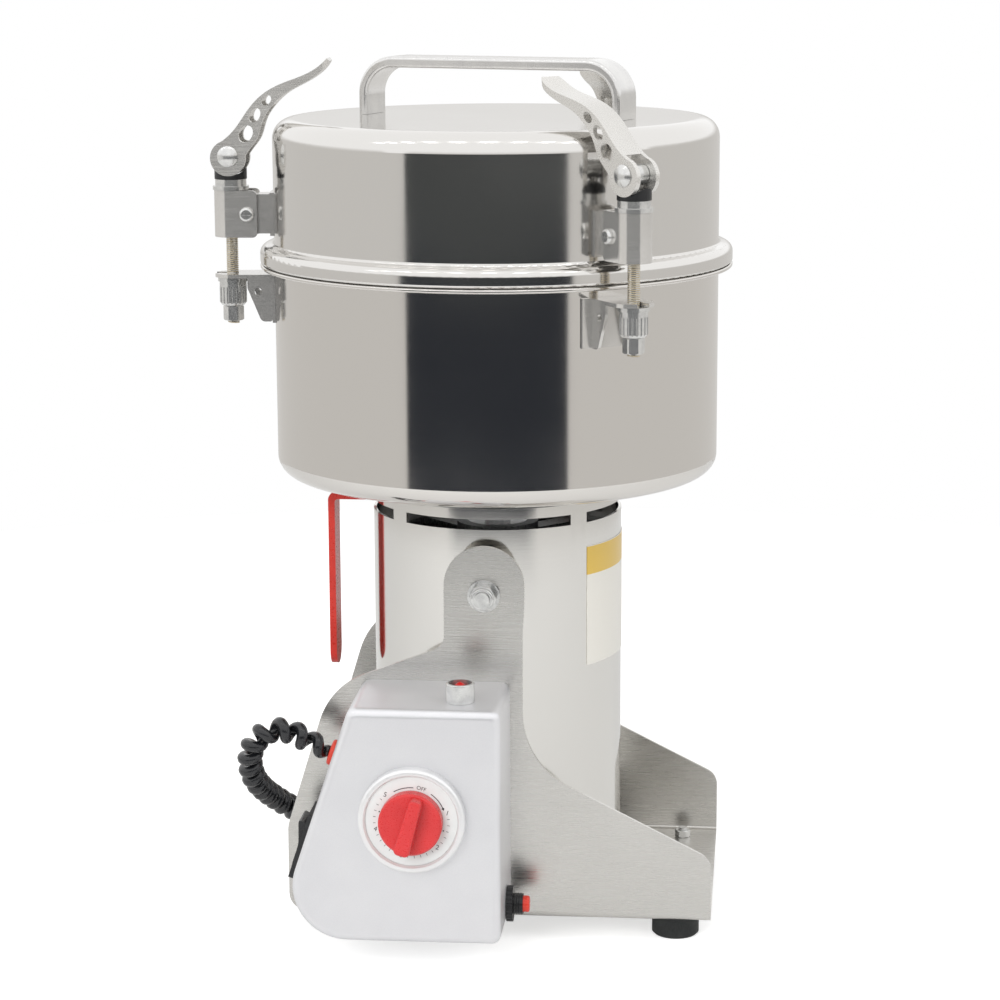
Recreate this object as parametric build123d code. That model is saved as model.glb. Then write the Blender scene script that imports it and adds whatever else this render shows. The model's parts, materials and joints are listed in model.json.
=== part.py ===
from build123d import *
from math import atan, cos, degrees, pi, radians, sin, sqrt, tan
import os

# Electric grain mill with a tilting bowl. Millimetres, +Z up, the bench at Z = 0.
# The bowl's axis is X = 0, Y = 0, the control box is on the -Y side and the bowl pours towards +X.

# ---- driving dimensions ----
gap = 0.1               # small assembly gap between pieces of one body
move_gap = 0.3          # gap between pieces that move past each other
running = 0.06          # radial clearance of a pin that turns in its hole
press = 0.02            # radial gap of a pressed or screwed fit

foot_height = 12.0      # bench to underside of the yoke
foot_radius = 12.5
foot_recess = 6.0       # radius of the recess round the foot's screw head
foot_x = (-84.0, 100.0)
foot_inset = 15.3       # inside of a side plate to a foot's middle
foot_screw_radius = 2.5

sheet = 2.0             # yoke sheet thickness
yoke_left, yoke_right = -105.0, 119.0
yoke_bend = 3.5         # outside radius of the bends along the floor
front_lobe_z = 46.5     # where the low lobe under the pouring side starts to rise
ear_radius = 21.0
ear_rise = 5.0          # ear's centre above the tilting axis
pivot_radius = 4.0
pivot_drop = 43.5       # barrel's top rim down to the tilting axis
pivot_room = 8.3        # barrel's side to the inside of a side plate

barrel_radius = 67.0
barrel_wall = 1.5
barrel_bottom = 36.0
barrel_height = 194.0
slot_drop = 11.0        # barrel's top rim down to the lower edge of the vent slots
slot_height = 5.5
slot_bridge = 11.0      # width of the bridges between vent slots
cover_sheet = 3.0       # cover under the motor

bowl_radius = 118.0
bowl_wall = 1.5
bowl_depth = 112.5      # bowl's underside to the joint with the lid
bowl_corner = 10.0
seat_height = 9.5       # barrel's top rim to the bowl's underside
bead_reach = 7.4        # how far the bead stands out of the bowl's wall
bead_under = 2.2        # bowl's lip below the joint
bead_over = 10.5        # lid's bead above the joint
lid_height = 76.0
lid_corner = 10.5
lid_gap = 0.4           # joint between the two steel rims, filled by the seal
seal_width = 3.8
seal_depth = 3.0
hub_hole = 12.0         # hole in the bowl's floor, filled by the shaft seal

latch_reach = 15.6      # bead to the latch rod
washer_height = 5.6     # stepped washer under the wear pad
latch_angles = (34.0, -86.0, 154.0)  # from the front, towards +X
lever_turns = (15.0, -4.0, 10.0)     # how far each lever is turned about its rod
lever_swings = (6.0, 0.0, 6.0)       # how far each lever is pressed on towards the lid
screw_sides = (1, -1, 1)             # the side of each strap that its cross screw's head is on
latch_rod_radius = 3.0
cam_rise = 55.8         # lever pin above the joint
cam_radius = 9.4
cam_throw = 1.0
lever_half = 8.0        # half the lever's width
lever_inner = 5.4       # half the clear width inside the lever
lever_web = 2.2         # sheet along the lever's outer edge
lever_tip = 55.2        # how far the lever's rounded tip is from its pin
lever_tip_corner = 6.5
lever_pin_radius = 2.5
strap_rise = 13.0       # joint to the strap's lower edge
strap_height = 24.8
strap_half = 9.0
strap_sheet = 2.0
strap_screw_reach = 6.6  # bead to the strap's cross screw
strap_screw_radius = 2.0
catch_drop = 4.3        # lip's underside to the slotted plate
catch_sheet = 2.0
catch_half = 11.0
catch_height = 25.0
nut_height = 15.0
nut_radius = 7.2
lock_nut_height = 8.2

handle_length = 151.0
handle_width = 23.0
handle_rise = 31.0
handle_thick = 6.0
handle_leg = 5.2
handle_turn = -19.0     # handle's bar against the X axis, degrees
handle_screw_radius = 1.5

box_right = 13.5
box_low, box_high = 17.0, 140.5
box_depth = 58.6
box_wall = 2.5
box_top_left = -63.5    # left end of the box's top
box_lean = 3.0          # the left side leans out by 1 in this much
box_screw_radius = 1.5
box_screw_places = [(-20.0, 26.0), (5.0, 130.0), (-58.0, 130.0), (-76.0, 40.0)]
dial_x, dial_z = -31.0, 84.0
dial_radius = 27.3
dial_inner = 23.6
dial_height = 6.5
dial_plate_height = 4.5
dial_turn = 16.0        # the dial's knob stands turned clockwise by this
knob_radius = 16.2
knob_base = 7.0
knob_grip = 8.0
spindle_radius = 3.0
timer_half = 20.0
lamp_x, lamp_inset = -8.3, 19.0      # lamp's place on the box's top, from its front
lamp_radius = 7.3
lamp_height = 10.0
breaker_inset, breaker_z = 22.6, 27.5   # breaker on the right side, from the box's back
breaker_radius = 5.4
breaker_button_radius = 4.3
side_inset = 27.6       # gland and switch on the left side, from the box's back
gland_z, gland_radius = 108.0, 6.8
cable_radius = 2.4
switch_z = 60.5
switch_long, switch_wide = 36.0, 26.0

lead_coil_radius = 6.4  # outside of the coiled motor lead
barrel_gland_turn = 215.0
barrel_gland_z = 52.0
stator_low = 42.0       # barrel's lower end up to the stator
armature_radius = 30.0
air_gap = 0.8
winding_width = 16.0
winding_height = 14.0
commutator_radius = 14.0
commutator_rise = 3.0   # lower bearing bracket to the commutator
commutator_height = 12.0
bracket_sheet = 4.0
upper_bracket_drop = 30.0   # barrel's top rim down to the upper bearing bracket
lower_bracket_rise = 21.0   # barrel's lower end up to the lower one
bearing_outer = 16.0
bearing_height = 11.0
fan_height = 16.0
fan_radius = 44.0
fan_drop = 22.0             # upper bearing down to the fan
fan_room = 6.0              # fan down to the winding
shaft_radius = 7.0
shaft_end_radius = 5.0
shaft_rise = 64.0       # bowl's underside to the shaft's end
shaft_neck = 14.0       # length of the thinner end that the blades sit on
blade_sheet = 3.0
blade_room = 20.5       # bowl's wall to the longest blade's tip

# ---- sizes that follow ----
plate_inner_y = barrel_radius + pivot_room
plate_outer_y = plate_inner_y + sheet
foot_y = plate_inner_y - foot_inset
floor_z = foot_height + sheet
barrel_inner = barrel_radius - barrel_wall
barrel_top = barrel_bottom + barrel_height
pivot_z = barrel_top - pivot_drop
ear_z = pivot_z + ear_rise
slot_bottom = barrel_top - slot_drop
bowl_inner = bowl_radius - bowl_wall
bowl_bottom = barrel_top + seat_height
joint_z = bowl_bottom + bowl_depth
bead_radius = bowl_radius + bead_reach
bead_low = joint_z - bead_under
bead_high = joint_z + bead_over
lid_top = joint_z + lid_height
seal_inner = bowl_radius + 0.8
seal_outer = seal_inner + seal_width
latch_radius = bead_radius + latch_reach
cam_z = joint_z + cam_rise
strap_low = joint_z + strap_rise
strap_high = strap_low + strap_height
strap_pin_x = bead_radius + strap_screw_reach
strap_screw_z = (strap_low + strap_high) / 2
catch_top = bead_low - catch_drop
nut_high = catch_top - catch_sheet - 0.2
nut_low = nut_high - nut_height
handle_foot_x = handle_length / 2 - handle_leg / 2
box_back = -(plate_outer_y + gap)
box_front = box_back - box_depth
box_side_lean = degrees(atan(1 / box_lean))
dial_face_y = box_front - dial_plate_height
lamp_y = box_front + lamp_inset
breaker_y = box_back - breaker_inset
side_y = box_back - side_inset
upper_bracket_z = barrel_top - upper_bracket_drop
lower_bracket_z = barrel_bottom + lower_bracket_rise
upper_bearing_z = upper_bracket_z
fan_low = upper_bearing_z - fan_drop - fan_height
stator_bottom = barrel_bottom + stator_low
stator_top = fan_low - fan_room - winding_height
commutator_low = lower_bracket_z + bracket_sheet + commutator_rise
commutator_high = commutator_low + commutator_height
lower_bearing_z = lower_bracket_z + bracket_sheet - bearing_height
shaft_low = lower_bearing_z - 3.0
shaft_high = bowl_bottom + shaft_rise


# ---- shape helpers ----
def rod(radius, z0, z1, x=0.0, y=0.0):
    """Upright cylinder."""
    return Pos(x, y, z0) * Cylinder(radius, z1 - z0, align=(Align.CENTER, Align.CENTER, Align.MIN))


def ring(outer, inner, z0, z1, x=0.0, y=0.0):
    """Upright tube."""
    return rod(outer, z0, z1, x, y) - rod(inner, z0 - 1, z1 + 1, x, y)


def rod_y(radius, y0, y1, x=0.0, z=0.0):
    """Cylinder along Y."""
    return Pos(x, (y0 + y1) / 2, z) * Rot(90, 0, 0) * Cylinder(radius, abs(y1 - y0))


def rod_x(radius, x0, x1, y=0.0, z=0.0):
    """Cylinder along X."""
    return Pos((x0 + x1) / 2, y, z) * Rot(0, 90, 0) * Cylinder(radius, abs(x1 - x0))


def block(x0, x1, y0, y1, z0, z1):
    """Box between two corners."""
    return Pos((x0 + x1) / 2, (y0 + y1) / 2, (z0 + z1) / 2) * Box(x1 - x0, y1 - y0, z1 - z0)


def rounded(corners):
    """Closed face from (x, y, radius) corners, each rounded by its own radius."""
    starts, ends, arcs = [], [], []
    for i, (x, y, radius) in enumerate(corners):
        here = Vector(x, y)
        back = (Vector(*corners[i - 1][:2]) - here).normalized()
        on = (Vector(*corners[(i + 1) % len(corners)][:2]) - here).normalized()
        if radius == 0:
            starts.append(here)
            ends.append(here)
            arcs.append(None)
            continue
        half = radians(back.get_angle(on)) / 2
        reach = radius / tan(half)
        middle = here + (back + on).normalized() * (radius / sin(half) - radius)
        starts.append(here + back * reach)
        ends.append(here + on * reach)
        arcs.append(middle)
    edges = []
    for i, arc in enumerate(arcs):
        if arc is not None:
            edges.append(ThreePointArc(starts[i], arc, ends[i]))
        after = starts[(i + 1) % len(arcs)]
        if (after - ends[i]).length > 1e-6:
            edges.append(Line(ends[i], after))
    return make_face(Wire(edges))


def prism_y(face, y0, y1):
    """A face drawn in X and Z, extruded from y0 to y1."""
    return Pos(0, y1, 0) * Rot(90, 0, 0) * extrude(face, y1 - y0)


def turned(points):
    """Solid of revolution about Z from (radius, z) points or (radius, z, corner radius)."""
    corners = [(p[0], p[1], p[2] if len(p) > 2 else 0) for p in points]
    return revolve(Rot(90, 0, 0) * rounded(corners), Axis.Z)


def hexagon(flats, z0, z1, x=0.0, y=0.0):
    """Hexagonal prism with chamfered corners, as a nut's outside."""
    body = extrude(RegularPolygon(flats / 2, 6, major_radius=False), z1 - z0)
    cone = rod(flats / 2 * 1.10, 0, z1 - z0)
    cone = chamfer(cone.edges().filter_by(GeomType.CIRCLE), flats * 0.05)
    return Pos(x, y, z0) * (body & cone)


# ---- yoke ----
def side_outline():
    """The side plates' outline: a low lobe under the pouring side, a high one behind the box."""
    ear_top = ear_z + ear_radius
    ear_round = ear_radius - 0.01
    return rounded([
        (yoke_left, foot_height, 10), (yoke_right, foot_height, 0), (yoke_right, front_lobe_z, 10),
        (20, front_lobe_z + 50, 44), (20, pivot_z - 21.5, 30), (ear_radius, pivot_z - 4.5, 0),
        (ear_radius, ear_z, 0), (ear_radius, ear_top, ear_round), (-ear_radius, ear_top, ear_round),
        (-ear_radius, pivot_z - 27.6, 9), (-81.3, box_high - 4.3, 40), (yoke_left, front_lobe_z + 13, 20),
    ])


def make_yoke():
    """U-shaped sheet channel cut to the side plates' outline."""
    high = ear_z + ear_radius + 1
    inner_bend = yoke_bend - sheet
    outside = rounded([(-plate_outer_y, foot_height, yoke_bend), (plate_outer_y, foot_height, yoke_bend),
                       (plate_outer_y, high, 0), (-plate_outer_y, high, 0)])
    inside = rounded([(-plate_inner_y, floor_z, inner_bend), (plate_inner_y, floor_z, inner_bend),
                      (plate_inner_y, high + 1, 0), (-plate_inner_y, high + 1, 0)])
    channel = extrude(outside - inside, yoke_right - yoke_left + 2)
    channel = Pos(yoke_left - 1, 0, 0) * Rot(0, 0, 90) * Rot(90, 0, 0) * channel
    yoke = channel & prism_y(side_outline(), -plate_outer_y - 1, plate_outer_y + 1)
    yoke -= rod_y(pivot_radius + running, -plate_outer_y - 1, plate_outer_y + 1, 0, pivot_z)
    for x in foot_x:
        for y in (-foot_y, foot_y):
            yoke -= rod(foot_screw_radius + gap, foot_height - 1, floor_z + 1, x, y)
    for x, z in box_screw_places:
        yoke -= rod_y(box_screw_radius + gap, -plate_outer_y - 1, -plate_inner_y + 1, x, z)
    return yoke


def make_feet():
    feet = []
    for x in foot_x:
        for y in (-foot_y, foot_y):
            foot = rod(foot_radius, 0, foot_height - gap, x, y)
            foot = chamfer(foot.edges().filter_by(GeomType.CIRCLE).sort_by(Axis.Z)[0], 1.2)
            foot -= rod(foot_recess, -1, 5.0, x, y)
            foot -= rod(foot_screw_radius + gap, 0, foot_height, x, y)
            feet.append(foot)
    return feet


def make_foot_screws():
    screws = []
    for x in foot_x:
        for y in (-foot_y, foot_y):
            head = rod(4.6, 2.0, 5.0 - gap, x, y)
            screws.append(head + rod(foot_screw_radius, 4.0, floor_z + 5.5, x, y))
            nut = hexagon(8.0, floor_z + gap, floor_z + 4.0 + gap, x, y)
            screws.append(nut - rod(foot_screw_radius + gap, floor_z, floor_z + 5, x, y))
    return screws


# ---- control box on the front plate ----
def box_outline(inset=0.0):
    """The box seen from the front, or its inside for an inset."""
    low, high = box_low + inset, box_high - inset
    across = inset / cos(radians(box_side_lean))
    left_low = left_face_x(low) + across
    left_high = left_face_x(high) + across
    inner = max(1.0, 5.0 - inset)
    return rounded([(left_low, low, 28.0 - inset), (box_right - inset, low, inner),
                    (box_right - inset, high, inner), (left_high, high, inner + 1.0)])


def left_face_x(z):
    """Where the control box's leaning left side is at height z."""
    return box_top_left - (box_high - z) / box_lean


def on_left_face(piece, y, z):
    """Moves a piece drawn along +X, with X = 0 at the surface, onto the box's left side."""
    return Pos(left_face_x(z), y, z) * Rot(0, box_side_lean, 0) * Rot(0, 0, 180) * piece


def make_control_box():
    """Open-backed cast shell with posts for the screws that come through the yoke."""
    shell = prism_y(box_outline(), box_front, box_back)
    front_edges = shell.edges().filter_by_position(Axis.Y, box_front - 0.01, box_front + 0.01)
    shell = fillet(front_edges, 4.5)
    shell -= prism_y(box_outline(box_wall), box_front + box_wall, box_back + 1)
    shell -= rod_y(spindle_radius + 2, box_front - 1, box_front + box_wall + 1, dial_x, dial_z)
    shell -= rod(lamp_radius - 2.0, box_high - 4, box_high + 1, lamp_x, lamp_y)
    shell -= rod_x(breaker_radius + gap, box_right - 4, box_right + 1, breaker_y, breaker_z)
    shell -= on_left_face(rod_x(gland_neck + 0.2, -6, 6), side_y, gland_z)
    wide, long = switch_wide / 2 - 2, switch_long / 2 - 2
    shell -= on_left_face(block(-6, 6, -wide, wide, -long, long), side_y, switch_z)
    for x, z in box_screw_places:
        post = rod_y(4.0, box_front + box_wall - 0.5, box_back, x, z)
        shell += post - rod_y(box_screw_radius, box_back - 14, box_back + 1, x, z)
    return shell


def make_box_screws():
    screws = []
    for x, z in box_screw_places:
        head = rod_y(3.0, -plate_inner_y + gap, -plate_inner_y + 2.2, x, z)
        screws.append(head + rod_y(box_screw_radius - 0.05, box_back - 12, -plate_inner_y + 1, x, z))
    return screws


def make_timer_body():
    """Clockwork timer behind the dial, with three blade terminals."""
    front, back = box_front + box_wall + gap, box_front + 26
    left, low = dial_x - timer_half, dial_z - timer_half
    body = block(left, left + 2 * timer_half, front, back, low, low + 2 * timer_half)
    for x in (dial_x - 14, dial_x, dial_x + 14):
        body += block(x - 2.4, x + 2.4, back - 1, back + 7, dial_z - 14, dial_z - 13.2)
    return body - rod_y(spindle_radius + running, box_front, box_front + 12, dial_x, dial_z)


def make_dial_ring():
    """Rounded rim with a coned inside."""
    rim = rod_y(dial_radius, box_front - dial_height, box_front - gap, dial_x, dial_z)
    rim = fillet(rim.edges().filter_by(GeomType.CIRCLE).sort_by(Axis.Y)[0], 2.0)
    hollow = rod_y(dial_inner, box_front - dial_height - 1, box_front + 1, dial_x, dial_z)
    cone = Cone(dial_inner, dial_inner + 1.6, 3.2)
    cone = Pos(dial_x, box_front - dial_height, dial_z) * Rot(90, 0, 0) * cone
    return rim - hollow - cone


def make_dial_plate():
    plate = rod_y(dial_inner - gap, dial_face_y, box_front - gap, dial_x, dial_z)
    return plate - rod_y(spindle_radius + 1, dial_face_y - 1, box_front + 1, dial_x, dial_z)


def make_timer_knob():
    """Round base with a grip bar across it and a spindle into the timer."""
    base_y = dial_face_y - move_gap - knob_base
    front_y = base_y - knob_grip
    base = rod_y(knob_radius, base_y, dial_face_y - move_gap)
    base = chamfer(base.edges().filter_by(GeomType.CIRCLE).sort_by(Axis.Y)[0], 1.0)
    low, high = -knob_radius + 1.6, knob_radius - 1.3
    outline = rounded([(-4.2, low, 2.5), (4.2, low, 2.5), (3.2, high, 2.0), (-3.2, high, 2.0)])
    grip = prism_y(outline, front_y, base_y + 1)
    grip = fillet(grip.edges().filter_by_position(Axis.Y, front_y - 0.01, front_y + 0.01), 1.4)
    knob = base + grip + rod_y(spindle_radius, dial_face_y - 1, box_front + 10)
    return Pos(dial_x, 0, dial_z) * Rot(0, dial_turn, 0) * knob


def make_lamp():
    """Chromed cup through the box's top with a red lens in it."""
    high = box_high + lamp_height
    bezel = rod(lamp_radius, box_high + gap, high, lamp_x, lamp_y)
    bezel = fillet(bezel.edges().filter_by(GeomType.CIRCLE).sort_by(Axis.Z)[-1], 0.8)
    bezel -= rod(lamp_radius - 1.3, box_high + 2.5, high + 1, lamp_x, lamp_y)
    bezel += rod(lamp_radius - 2.1, box_high - 9, box_high + 3, lamp_x, lamp_y)
    stem = 3.0
    bezel -= rod(stem, box_high - 10, box_high + 4, lamp_x, lamp_y)
    lens = rod(lamp_radius - 2.9, box_high + 3.1, high + 0.5, lamp_x, lamp_y)
    lens = fillet(lens.edges().filter_by(GeomType.CIRCLE).sort_by(Axis.Z)[-1], 1.6)
    lens += rod(stem - gap, box_high - 6, box_high + 4, lamp_x, lamp_y)
    return bezel, lens


def make_breaker():
    """Thermal breaker: threaded collar with a ribbed nut, a body inside the box and a reset button."""
    collar = rod_x(breaker_radius, box_right - box_wall - 2, box_right + 8.6, breaker_y, breaker_z)
    collar += block(box_right - 24, box_right - box_wall - gap, breaker_y - 8, breaker_y + 8,
                    breaker_z - 5.9, breaker_z + 5.9)
    collar -= rod_x(breaker_button_radius + 0.15, box_right - 4, box_right + 10, breaker_y, breaker_z)
    rim = breaker_radius + 4.0
    nut = rod_x(rim, box_right + gap, box_right + 3.5, breaker_y, breaker_z)
    for turn in range(0, 360, 15):
        y = breaker_y + (rim + 0.2) * cos(radians(turn))
        z = breaker_z + (rim + 0.2) * sin(radians(turn))
        nut -= rod_x(0.7, box_right, box_right + 5, y, z)
    nut -= rod_x(breaker_radius + gap / 2, box_right, box_right + 5, breaker_y, breaker_z)
    button = rod_x(breaker_button_radius, box_right - 3, box_right + 12.0, breaker_y, breaker_z)
    button = fillet(button.edges().filter_by(GeomType.CIRCLE).sort_by(Axis.X)[-1], 1.2)
    return [collar, nut], button


def make_switch():
    """Rocker switch on the leaning side: a frame with a rocker that tips about Y."""
    wide, long = switch_wide / 2, switch_long / 2
    body, well = 2.3, 3.6       # how far the body and the rocker's well are in from the flange
    frame = block(0.1, 3.0, -wide, wide, -long, long)
    frame = fillet(frame.edges().filter_by(Axis.X), 2.0)
    frame += block(-16, 0.2, body - wide, wide - body, body - long, long - body)
    frame -= block(-9.0, 4.0, well - wide, wide - well, well - long, long - well)
    half = long - well - 1.8
    side = wide - well - 0.6
    pin_x, pin_radius = 0.5, 1.5
    face = rounded([(-2.5, -half + 2, 1), (-2.5, half - 2, 1), (7.4, half, 1.2), (3.4, 0, 16),
                    (3.4, -half, 1.2)])
    rocker = prism_y(face, -side, side) + rod_y(pin_radius, 2.5 - wide, wide - 2.5, pin_x, 0)
    frame -= rod_y(pin_radius + running, 2.2 - wide, wide - 2.2, pin_x, 0)
    return on_left_face(frame, side_y, switch_z), on_left_face(rocker, side_y, switch_z)


gland_neck = 5.0


def make_box_gland():
    """Strain relief round the lead where it leaves the box."""
    gland = rod_x(gland_radius, 0.1, 3.4)
    gland = fillet(gland.edges().filter_by(GeomType.CIRCLE).sort_by(Axis.X)[-1], 1.4)
    gland += rod_x(gland_neck, -5.0, 1.0)
    gland -= rod_x(cable_radius, -6, 6)
    return on_left_face(gland, side_y, gland_z)


# The motor lead leaves the box, loops out to the left and goes in behind the front plate to the barrel.
lead_route = [
    (-77.6, -105.0, 109.1), (-85.2, -105.0, 111.63), (-94.0, -109.0, 119.6), (-105.5, -111.5, 122.8),
    (-115.2, -111.5, 116.7), (-119.6, -108.0, 105.3), (-118.9, -100.5, 93.0), (-116.0, -90.0, 83.6),
    (-111.8, -79.0, 75.6), (-106.0, -70.2, 68.2), (-96.6, -63.2, 61.2), (-86.3, -57.6, 55.8),
    (-75.9, -52.1, 52.9), (-66.35, -46.46, 52.0), (-58.9, -41.24, 52.0),
]


def route_radii(points):
    """A bend radius for each inner corner, as large as its two runs allow."""
    radii = []
    for a, b, c in zip(points, points[1:], points[2:]):
        before, after = Vector(*b) - Vector(*a), Vector(*c) - Vector(*b)
        turn = radians(before.get_angle(after))
        radii.append(0.45 * min(before.length, after.length) / tan(turn / 2))
    return radii


def make_lead():
    """The coiled lead as a smooth tube of the coil's outside size."""
    path = FilletPolyline(*lead_route, radius=route_radii(lead_route))
    start = Plane(origin=path @ 0, z_dir=path % 0)
    lead = sweep(start * Circle(lead_coil_radius), path=path)
    expected = pi * lead_coil_radius ** 2 * path.length
    print("motor lead volume", round(lead.volume), "against", round(expected))
    return lead


# ---- motor barrel ----
def make_barrel():
    """Motor barrel with four vent slots under its top rim."""
    tube = ring(barrel_radius, barrel_inner, barrel_bottom, barrel_top)
    tip = slot_bridge / sqrt(2)     # moves each wedge out, so that bridges of equal width stay
    far = barrel_radius + 20
    wedge = make_face(Polyline((tip, 0), (far, far - tip), (far, tip - far), close=True))
    for i in range(4):
        tube -= Pos(0, 0, slot_bottom) * Rot(0, 0, i * 90) * extrude(wedge, slot_height)
    for side in (-1, 1):
        tube -= rod_y(pivot_radius + gap, side * (barrel_radius - 7), side * (barrel_radius + 3), 0, pivot_z)
    hole = rod_x(barrel_gland_neck + 0.2, barrel_radius - 7, barrel_radius + 3)
    return tube - Pos(0, 0, barrel_gland_z) * Rot(0, 0, barrel_gland_turn) * hole


barrel_gland_neck = 4.0


def make_barrel_gland():
    """Strain relief round the lead where it enters the barrel."""
    gland = rod_x(6.0, barrel_radius + 0.25, barrel_radius + 4.6)
    gland = fillet(gland.edges().filter_by(GeomType.CIRCLE).sort_by(Axis.X)[-1], 1.5)
    gland += rod_x(barrel_gland_neck, barrel_radius - 4, barrel_radius + 1)
    gland -= rod_x(cable_radius, barrel_radius - 5, barrel_radius + 6)
    return Pos(0, 0, barrel_gland_z) * Rot(0, 0, barrel_gland_turn) * gland


def make_barrel_cover():
    """Vented cover under the motor."""
    inside = barrel_inner - gap
    cover = rod(barrel_radius, barrel_bottom - cover_sheet, barrel_bottom - gap)
    cover = fillet(cover.edges().filter_by(GeomType.CIRCLE).sort_by(Axis.Z)[0], 2.0)
    cover += ring(inside, inside - 2.5, barrel_bottom - 1, barrel_bottom + 5)
    slot = block(30, barrel_radius - 13, -2.0, 2.0, barrel_bottom - 4, barrel_bottom + 1)
    for turn in range(0, 360, 30):
        cover -= Rot(0, 0, turn) * slot
    return cover


def make_stator():
    """Laminated ring pressed into the barrel, flat on four sides for air, and its two windings."""
    radius = barrel_inner - press
    flat = radius - 6.4
    core = ring(radius, armature_radius + air_gap, stator_bottom, stator_top)
    core &= block(-flat, flat, -flat, flat, stator_bottom - 1, stator_top + 1)
    slot_inner = armature_radius + 6
    for turn in (0, 180):
        slot = block(slot_inner, slot_inner + 10, -24, 24, stator_bottom - 1, stator_top + 1)
        core -= Rot(0, 0, turn) * slot
    windings = []
    inner = armature_radius + 4
    for low in (stator_bottom - winding_height, stator_top + gap):
        coil = ring(inner + winding_width, inner, low, low + winding_height - gap)
        windings.append(fillet(coil.edges().filter_by(GeomType.CIRCLE), 3.0))
    return core, windings


def make_brackets():
    """Spiders across the barrel that carry the shaft's bearings."""
    brackets = []
    for z, hub, first in ((upper_bracket_z, upper_bearing_z, 45), (lower_bracket_z, lower_bearing_z, 0)):
        inside = barrel_inner - gap
        bracket = ring(inside, inside - 8, z, z + bracket_sheet)
        bracket += ring(bearing_outer + 6, bearing_outer + press, hub, hub + bearing_height)
        for turn in range(first, first + 360, 90):
            bracket += Rot(0, 0, turn) * block(bearing_outer + 4, inside - 4, -6, 6, z, z + bracket_sheet)
        brackets.append(bracket)
    return brackets


def make_bearings():
    return [ring(bearing_outer, shaft_radius + 0.05, z, z + bearing_height)
            for z in (upper_bearing_z, lower_bearing_z)]


def make_brush_gear():
    """Two carbon brushes in their holders, on the lower bracket."""
    low, high = commutator_low + 0.6, commutator_high - 1
    inner = commutator_radius + move_gap
    holder = block(inner + 3.2, inner + 17.7, -5, 5, low, high)
    holder -= block(inner + 2, inner + 19, -3.6, 3.6, low + 1.2, high - 1.4)
    holder += block(inner + 9.7, inner + 16.7, -5, 5, lower_bracket_z + bracket_sheet + gap, low + 0.4)
    brush = block(inner, inner + 15.7, -3.4, 3.4, low + 1.4, high - 1.6)
    return [Rot(0, 0, side) * piece for side in (0, 180) for piece in (holder, brush)]


def make_armature():
    """Slotted core and commutator on the shaft."""
    bore = shaft_radius + press / 2
    core = ring(armature_radius, bore, stator_bottom - 1, stator_top + 1)
    slot = block(armature_radius - 5, armature_radius + 1, -1.2, 1.2, stator_bottom - 2, stator_top + 2)
    for turn in range(0, 360, 30):
        core -= Rot(0, 0, turn) * slot
    return [core, ring(commutator_radius, bore, commutator_low, commutator_high)]


def make_fan():
    low, high = fan_low, fan_low + fan_height
    bore = shaft_radius + press / 2
    fan = ring(fan_radius, bore, low, low + 2) + ring(bore + 6, bore, low, high)
    for turn in range(0, 360, 40):
        fan += Rot(0, 0, turn) * block(bore + 5, fan_radius - 1, -1.0, 1.0, low + 1, high - 2)
    return fan


def make_shaft():
    shaft = rod(shaft_radius, shaft_low, shaft_high - shaft_neck)
    shaft += rod(shaft_end_radius, shaft_high - shaft_neck - 1, shaft_high)
    return chamfer(shaft.edges().filter_by(GeomType.CIRCLE).sort_by(Axis.Z)[-1], 0.8)


# ---- tilting pivots ----
def make_pivots():
    """On each side a bolt through barrel and ear, a spacer, a washer and a lock nut."""
    bolts, washers, nuts = [], [], []
    bore = pivot_radius + gap / 2
    for side in (-1, 1):
        face = side * (plate_outer_y + move_gap / 2)
        outermost = 0 if side < 0 else -1
        through = rod_y(bore, side * (barrel_radius - 17), side * (plate_outer_y + 18), 0, pivot_z)
        bolt = rod_y(pivot_radius, side * (barrel_radius - 5), face + side * 11.5, 0, pivot_z)
        head = extrude(RegularPolygon(6.5, 6, major_radius=False), 2.5, both=True)
        bolts.append(bolt + Pos(0, side * (barrel_inner - 6), pivot_z) * Rot(90, 0, 0) * head)
        spacer = rod_y(9.0, side * (barrel_radius - 7), side * (plate_inner_y - move_gap / 2), 0, pivot_z)
        spacer -= rod(barrel_radius + press, pivot_z - 20, pivot_z + 20)
        washers.append(spacer - through)
        washers.append(rod_y(8.5, face, face + side * 1.6, 0, pivot_z) - through)
        nut = Pos(0, face + side * 1.7, pivot_z) * Rot(side * -90, 0, 0) * hexagon(13.0, 0, 6.5)
        collar = rod_y(5.9, face + side * 8.1, face + side * 9.6, 0, pivot_z)
        collar = fillet(collar.edges().filter_by(GeomType.CIRCLE).sort_by(Axis.Y)[outermost], 0.9)
        nuts.append(nut + collar - through)
    return bolts, washers, nuts


# ---- bowl and lid ----
def make_bowl_seat():
    """Cast flange between the barrel's top and the bowl's floor."""
    outer = barrel_radius - 5
    seat = ring(outer, 20.0, barrel_top - 2, bowl_bottom - gap)
    return seat + ring(barrel_inner - gap, outer - 4, barrel_top - 4, barrel_top - 1)


def make_shaft_seal():
    return ring(hub_hole - gap, shaft_radius + move_gap, barrel_top, bowl_bottom + bowl_wall + 2)


def make_bowl():
    """Grinding bowl with a flat lip round its rim."""
    rim = joint_z - lid_gap / 4
    return turned([
        (hub_hole, bowl_bottom), (bowl_radius, bowl_bottom, bowl_corner), (bowl_radius, bead_low, 1.0),
        (bead_radius, bead_low, 0.9), (bead_radius, rim, 0.9), (bowl_inner, rim),
        (bowl_inner, bowl_bottom + bowl_wall, bowl_corner - bowl_wall), (hub_hole, bowl_bottom + bowl_wall),
    ])


def make_lid_seal():
    return ring(seal_outer, seal_inner, joint_z, joint_z + seal_depth)


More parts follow.
